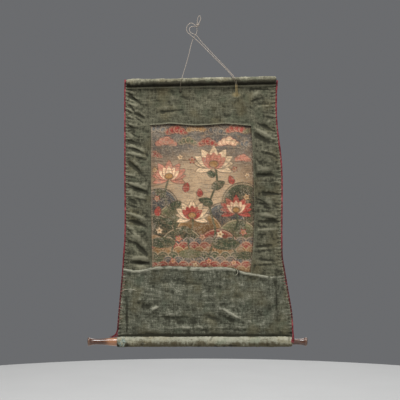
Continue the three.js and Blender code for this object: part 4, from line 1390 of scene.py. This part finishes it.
THREAD_STEPS = 40
share = np.linspace(0, 1, THREAD_STEPS)
pulled_z = -687 + 5 * np.sin(2.3 * share + 0.5)
pulled = on_mount(-190 + 33 * share, pulled_z, 0.2 + 0.9 * np.sin(np.pi * share))
curl_turn = 5.2 * share
curl_x = 92 + 3 * share + 3.4 * np.sin(curl_turn)
curl_z = -634 - 15 * share + 2.2 * np.cos(curl_turn)
curl = on_mount(curl_x, curl_z, 0.4 + 1.2 * share)
pale_thread = thread_finish("pale_thread", (0.3, 0.28, 0.2), (0.5, 0.48, 0.37))
thread_piece("loose_threads", np.stack([pulled, curl]), 0.8, pale_thread)

FRAYED_THREADS = 16
fray_draw = np.random.default_rng(72)


def frayed_end(start, bow, reaches):
    """Threads from about one place to places drawn within three ranges, straight but for one sine bow."""
    ends = np.stack([fray_draw.uniform(low, high, FRAYED_THREADS) for low, high in reaches], axis=-1)
    starts = np.array(start) + fray_draw.uniform(-0.8, 0.8, (FRAYED_THREADS, 3))
    bent = np.sin(np.pi * share[:, None]) * np.array(bow)
    return starts[:, None] + (ends - starts)[:, None] * share[:, None] + bent


left_fray = frayed_end((-206.3, 5.4, -788.0), (2.5, -1.0, -2.0), ((-224, -204), (0, 6), (-803, -800)))
right_fray = frayed_end((233.6, 1.0, -793.0), (0.0, -6.0, 1.0), ((227, 236), (-13, -12.4), (-818, -806)))
thread_piece("frayed_red_threads", np.concatenate([left_fray, right_fray]), 0.45, red_cotton)

PATCH_THREADS = 60
PATCH_STEPS = 12
UNDYED_SHARE = 0.35
patch_draw = np.random.default_rng(71)
each_thread = (PATCH_THREADS, 1)
patch_share = share[:PATCH_STEPS]
patch_x = patch_draw.normal(-191, 5.5, each_thread) + patch_draw.uniform(-6, 6, each_thread) * patch_share
patch_turn = patch_draw.normal(0.05, 0.42, each_thread)
patch_turn = patch_turn + patch_draw.uniform(-0.7, 0.7, each_thread) * patch_share * 3
casing_radius = curve_through(CASING_OUTSIDE, "x", "radius")(patch_x)
patch_bow = 0.8 * np.sin(np.pi * patch_share * THREAD_STEPS / PATCH_STEPS)
patch_radius = casing_radius + 0.3 + patch_bow * patch_draw.uniform(0, 1, each_thread)
patch_paths = np.stack([
    patch_x,
    CASING["y"] - patch_radius * np.cos(patch_turn),
    CASING["z"] + patch_radius * np.sin(patch_turn),
], axis=-1)
turquoise_thread = thread_finish("turquoise_thread", (0.2, 0.28, 0.24), (0.48, 0.56, 0.5), (0.42, 0.36, 0.22))
undyed = 2.0 * (patch_draw.uniform(0, 1, (PATCH_THREADS, 1, 1)) < UNDYED_SHARE)
thread_piece("turquoise_threads", patch_paths, 0.65, turquoise_thread, undyed)
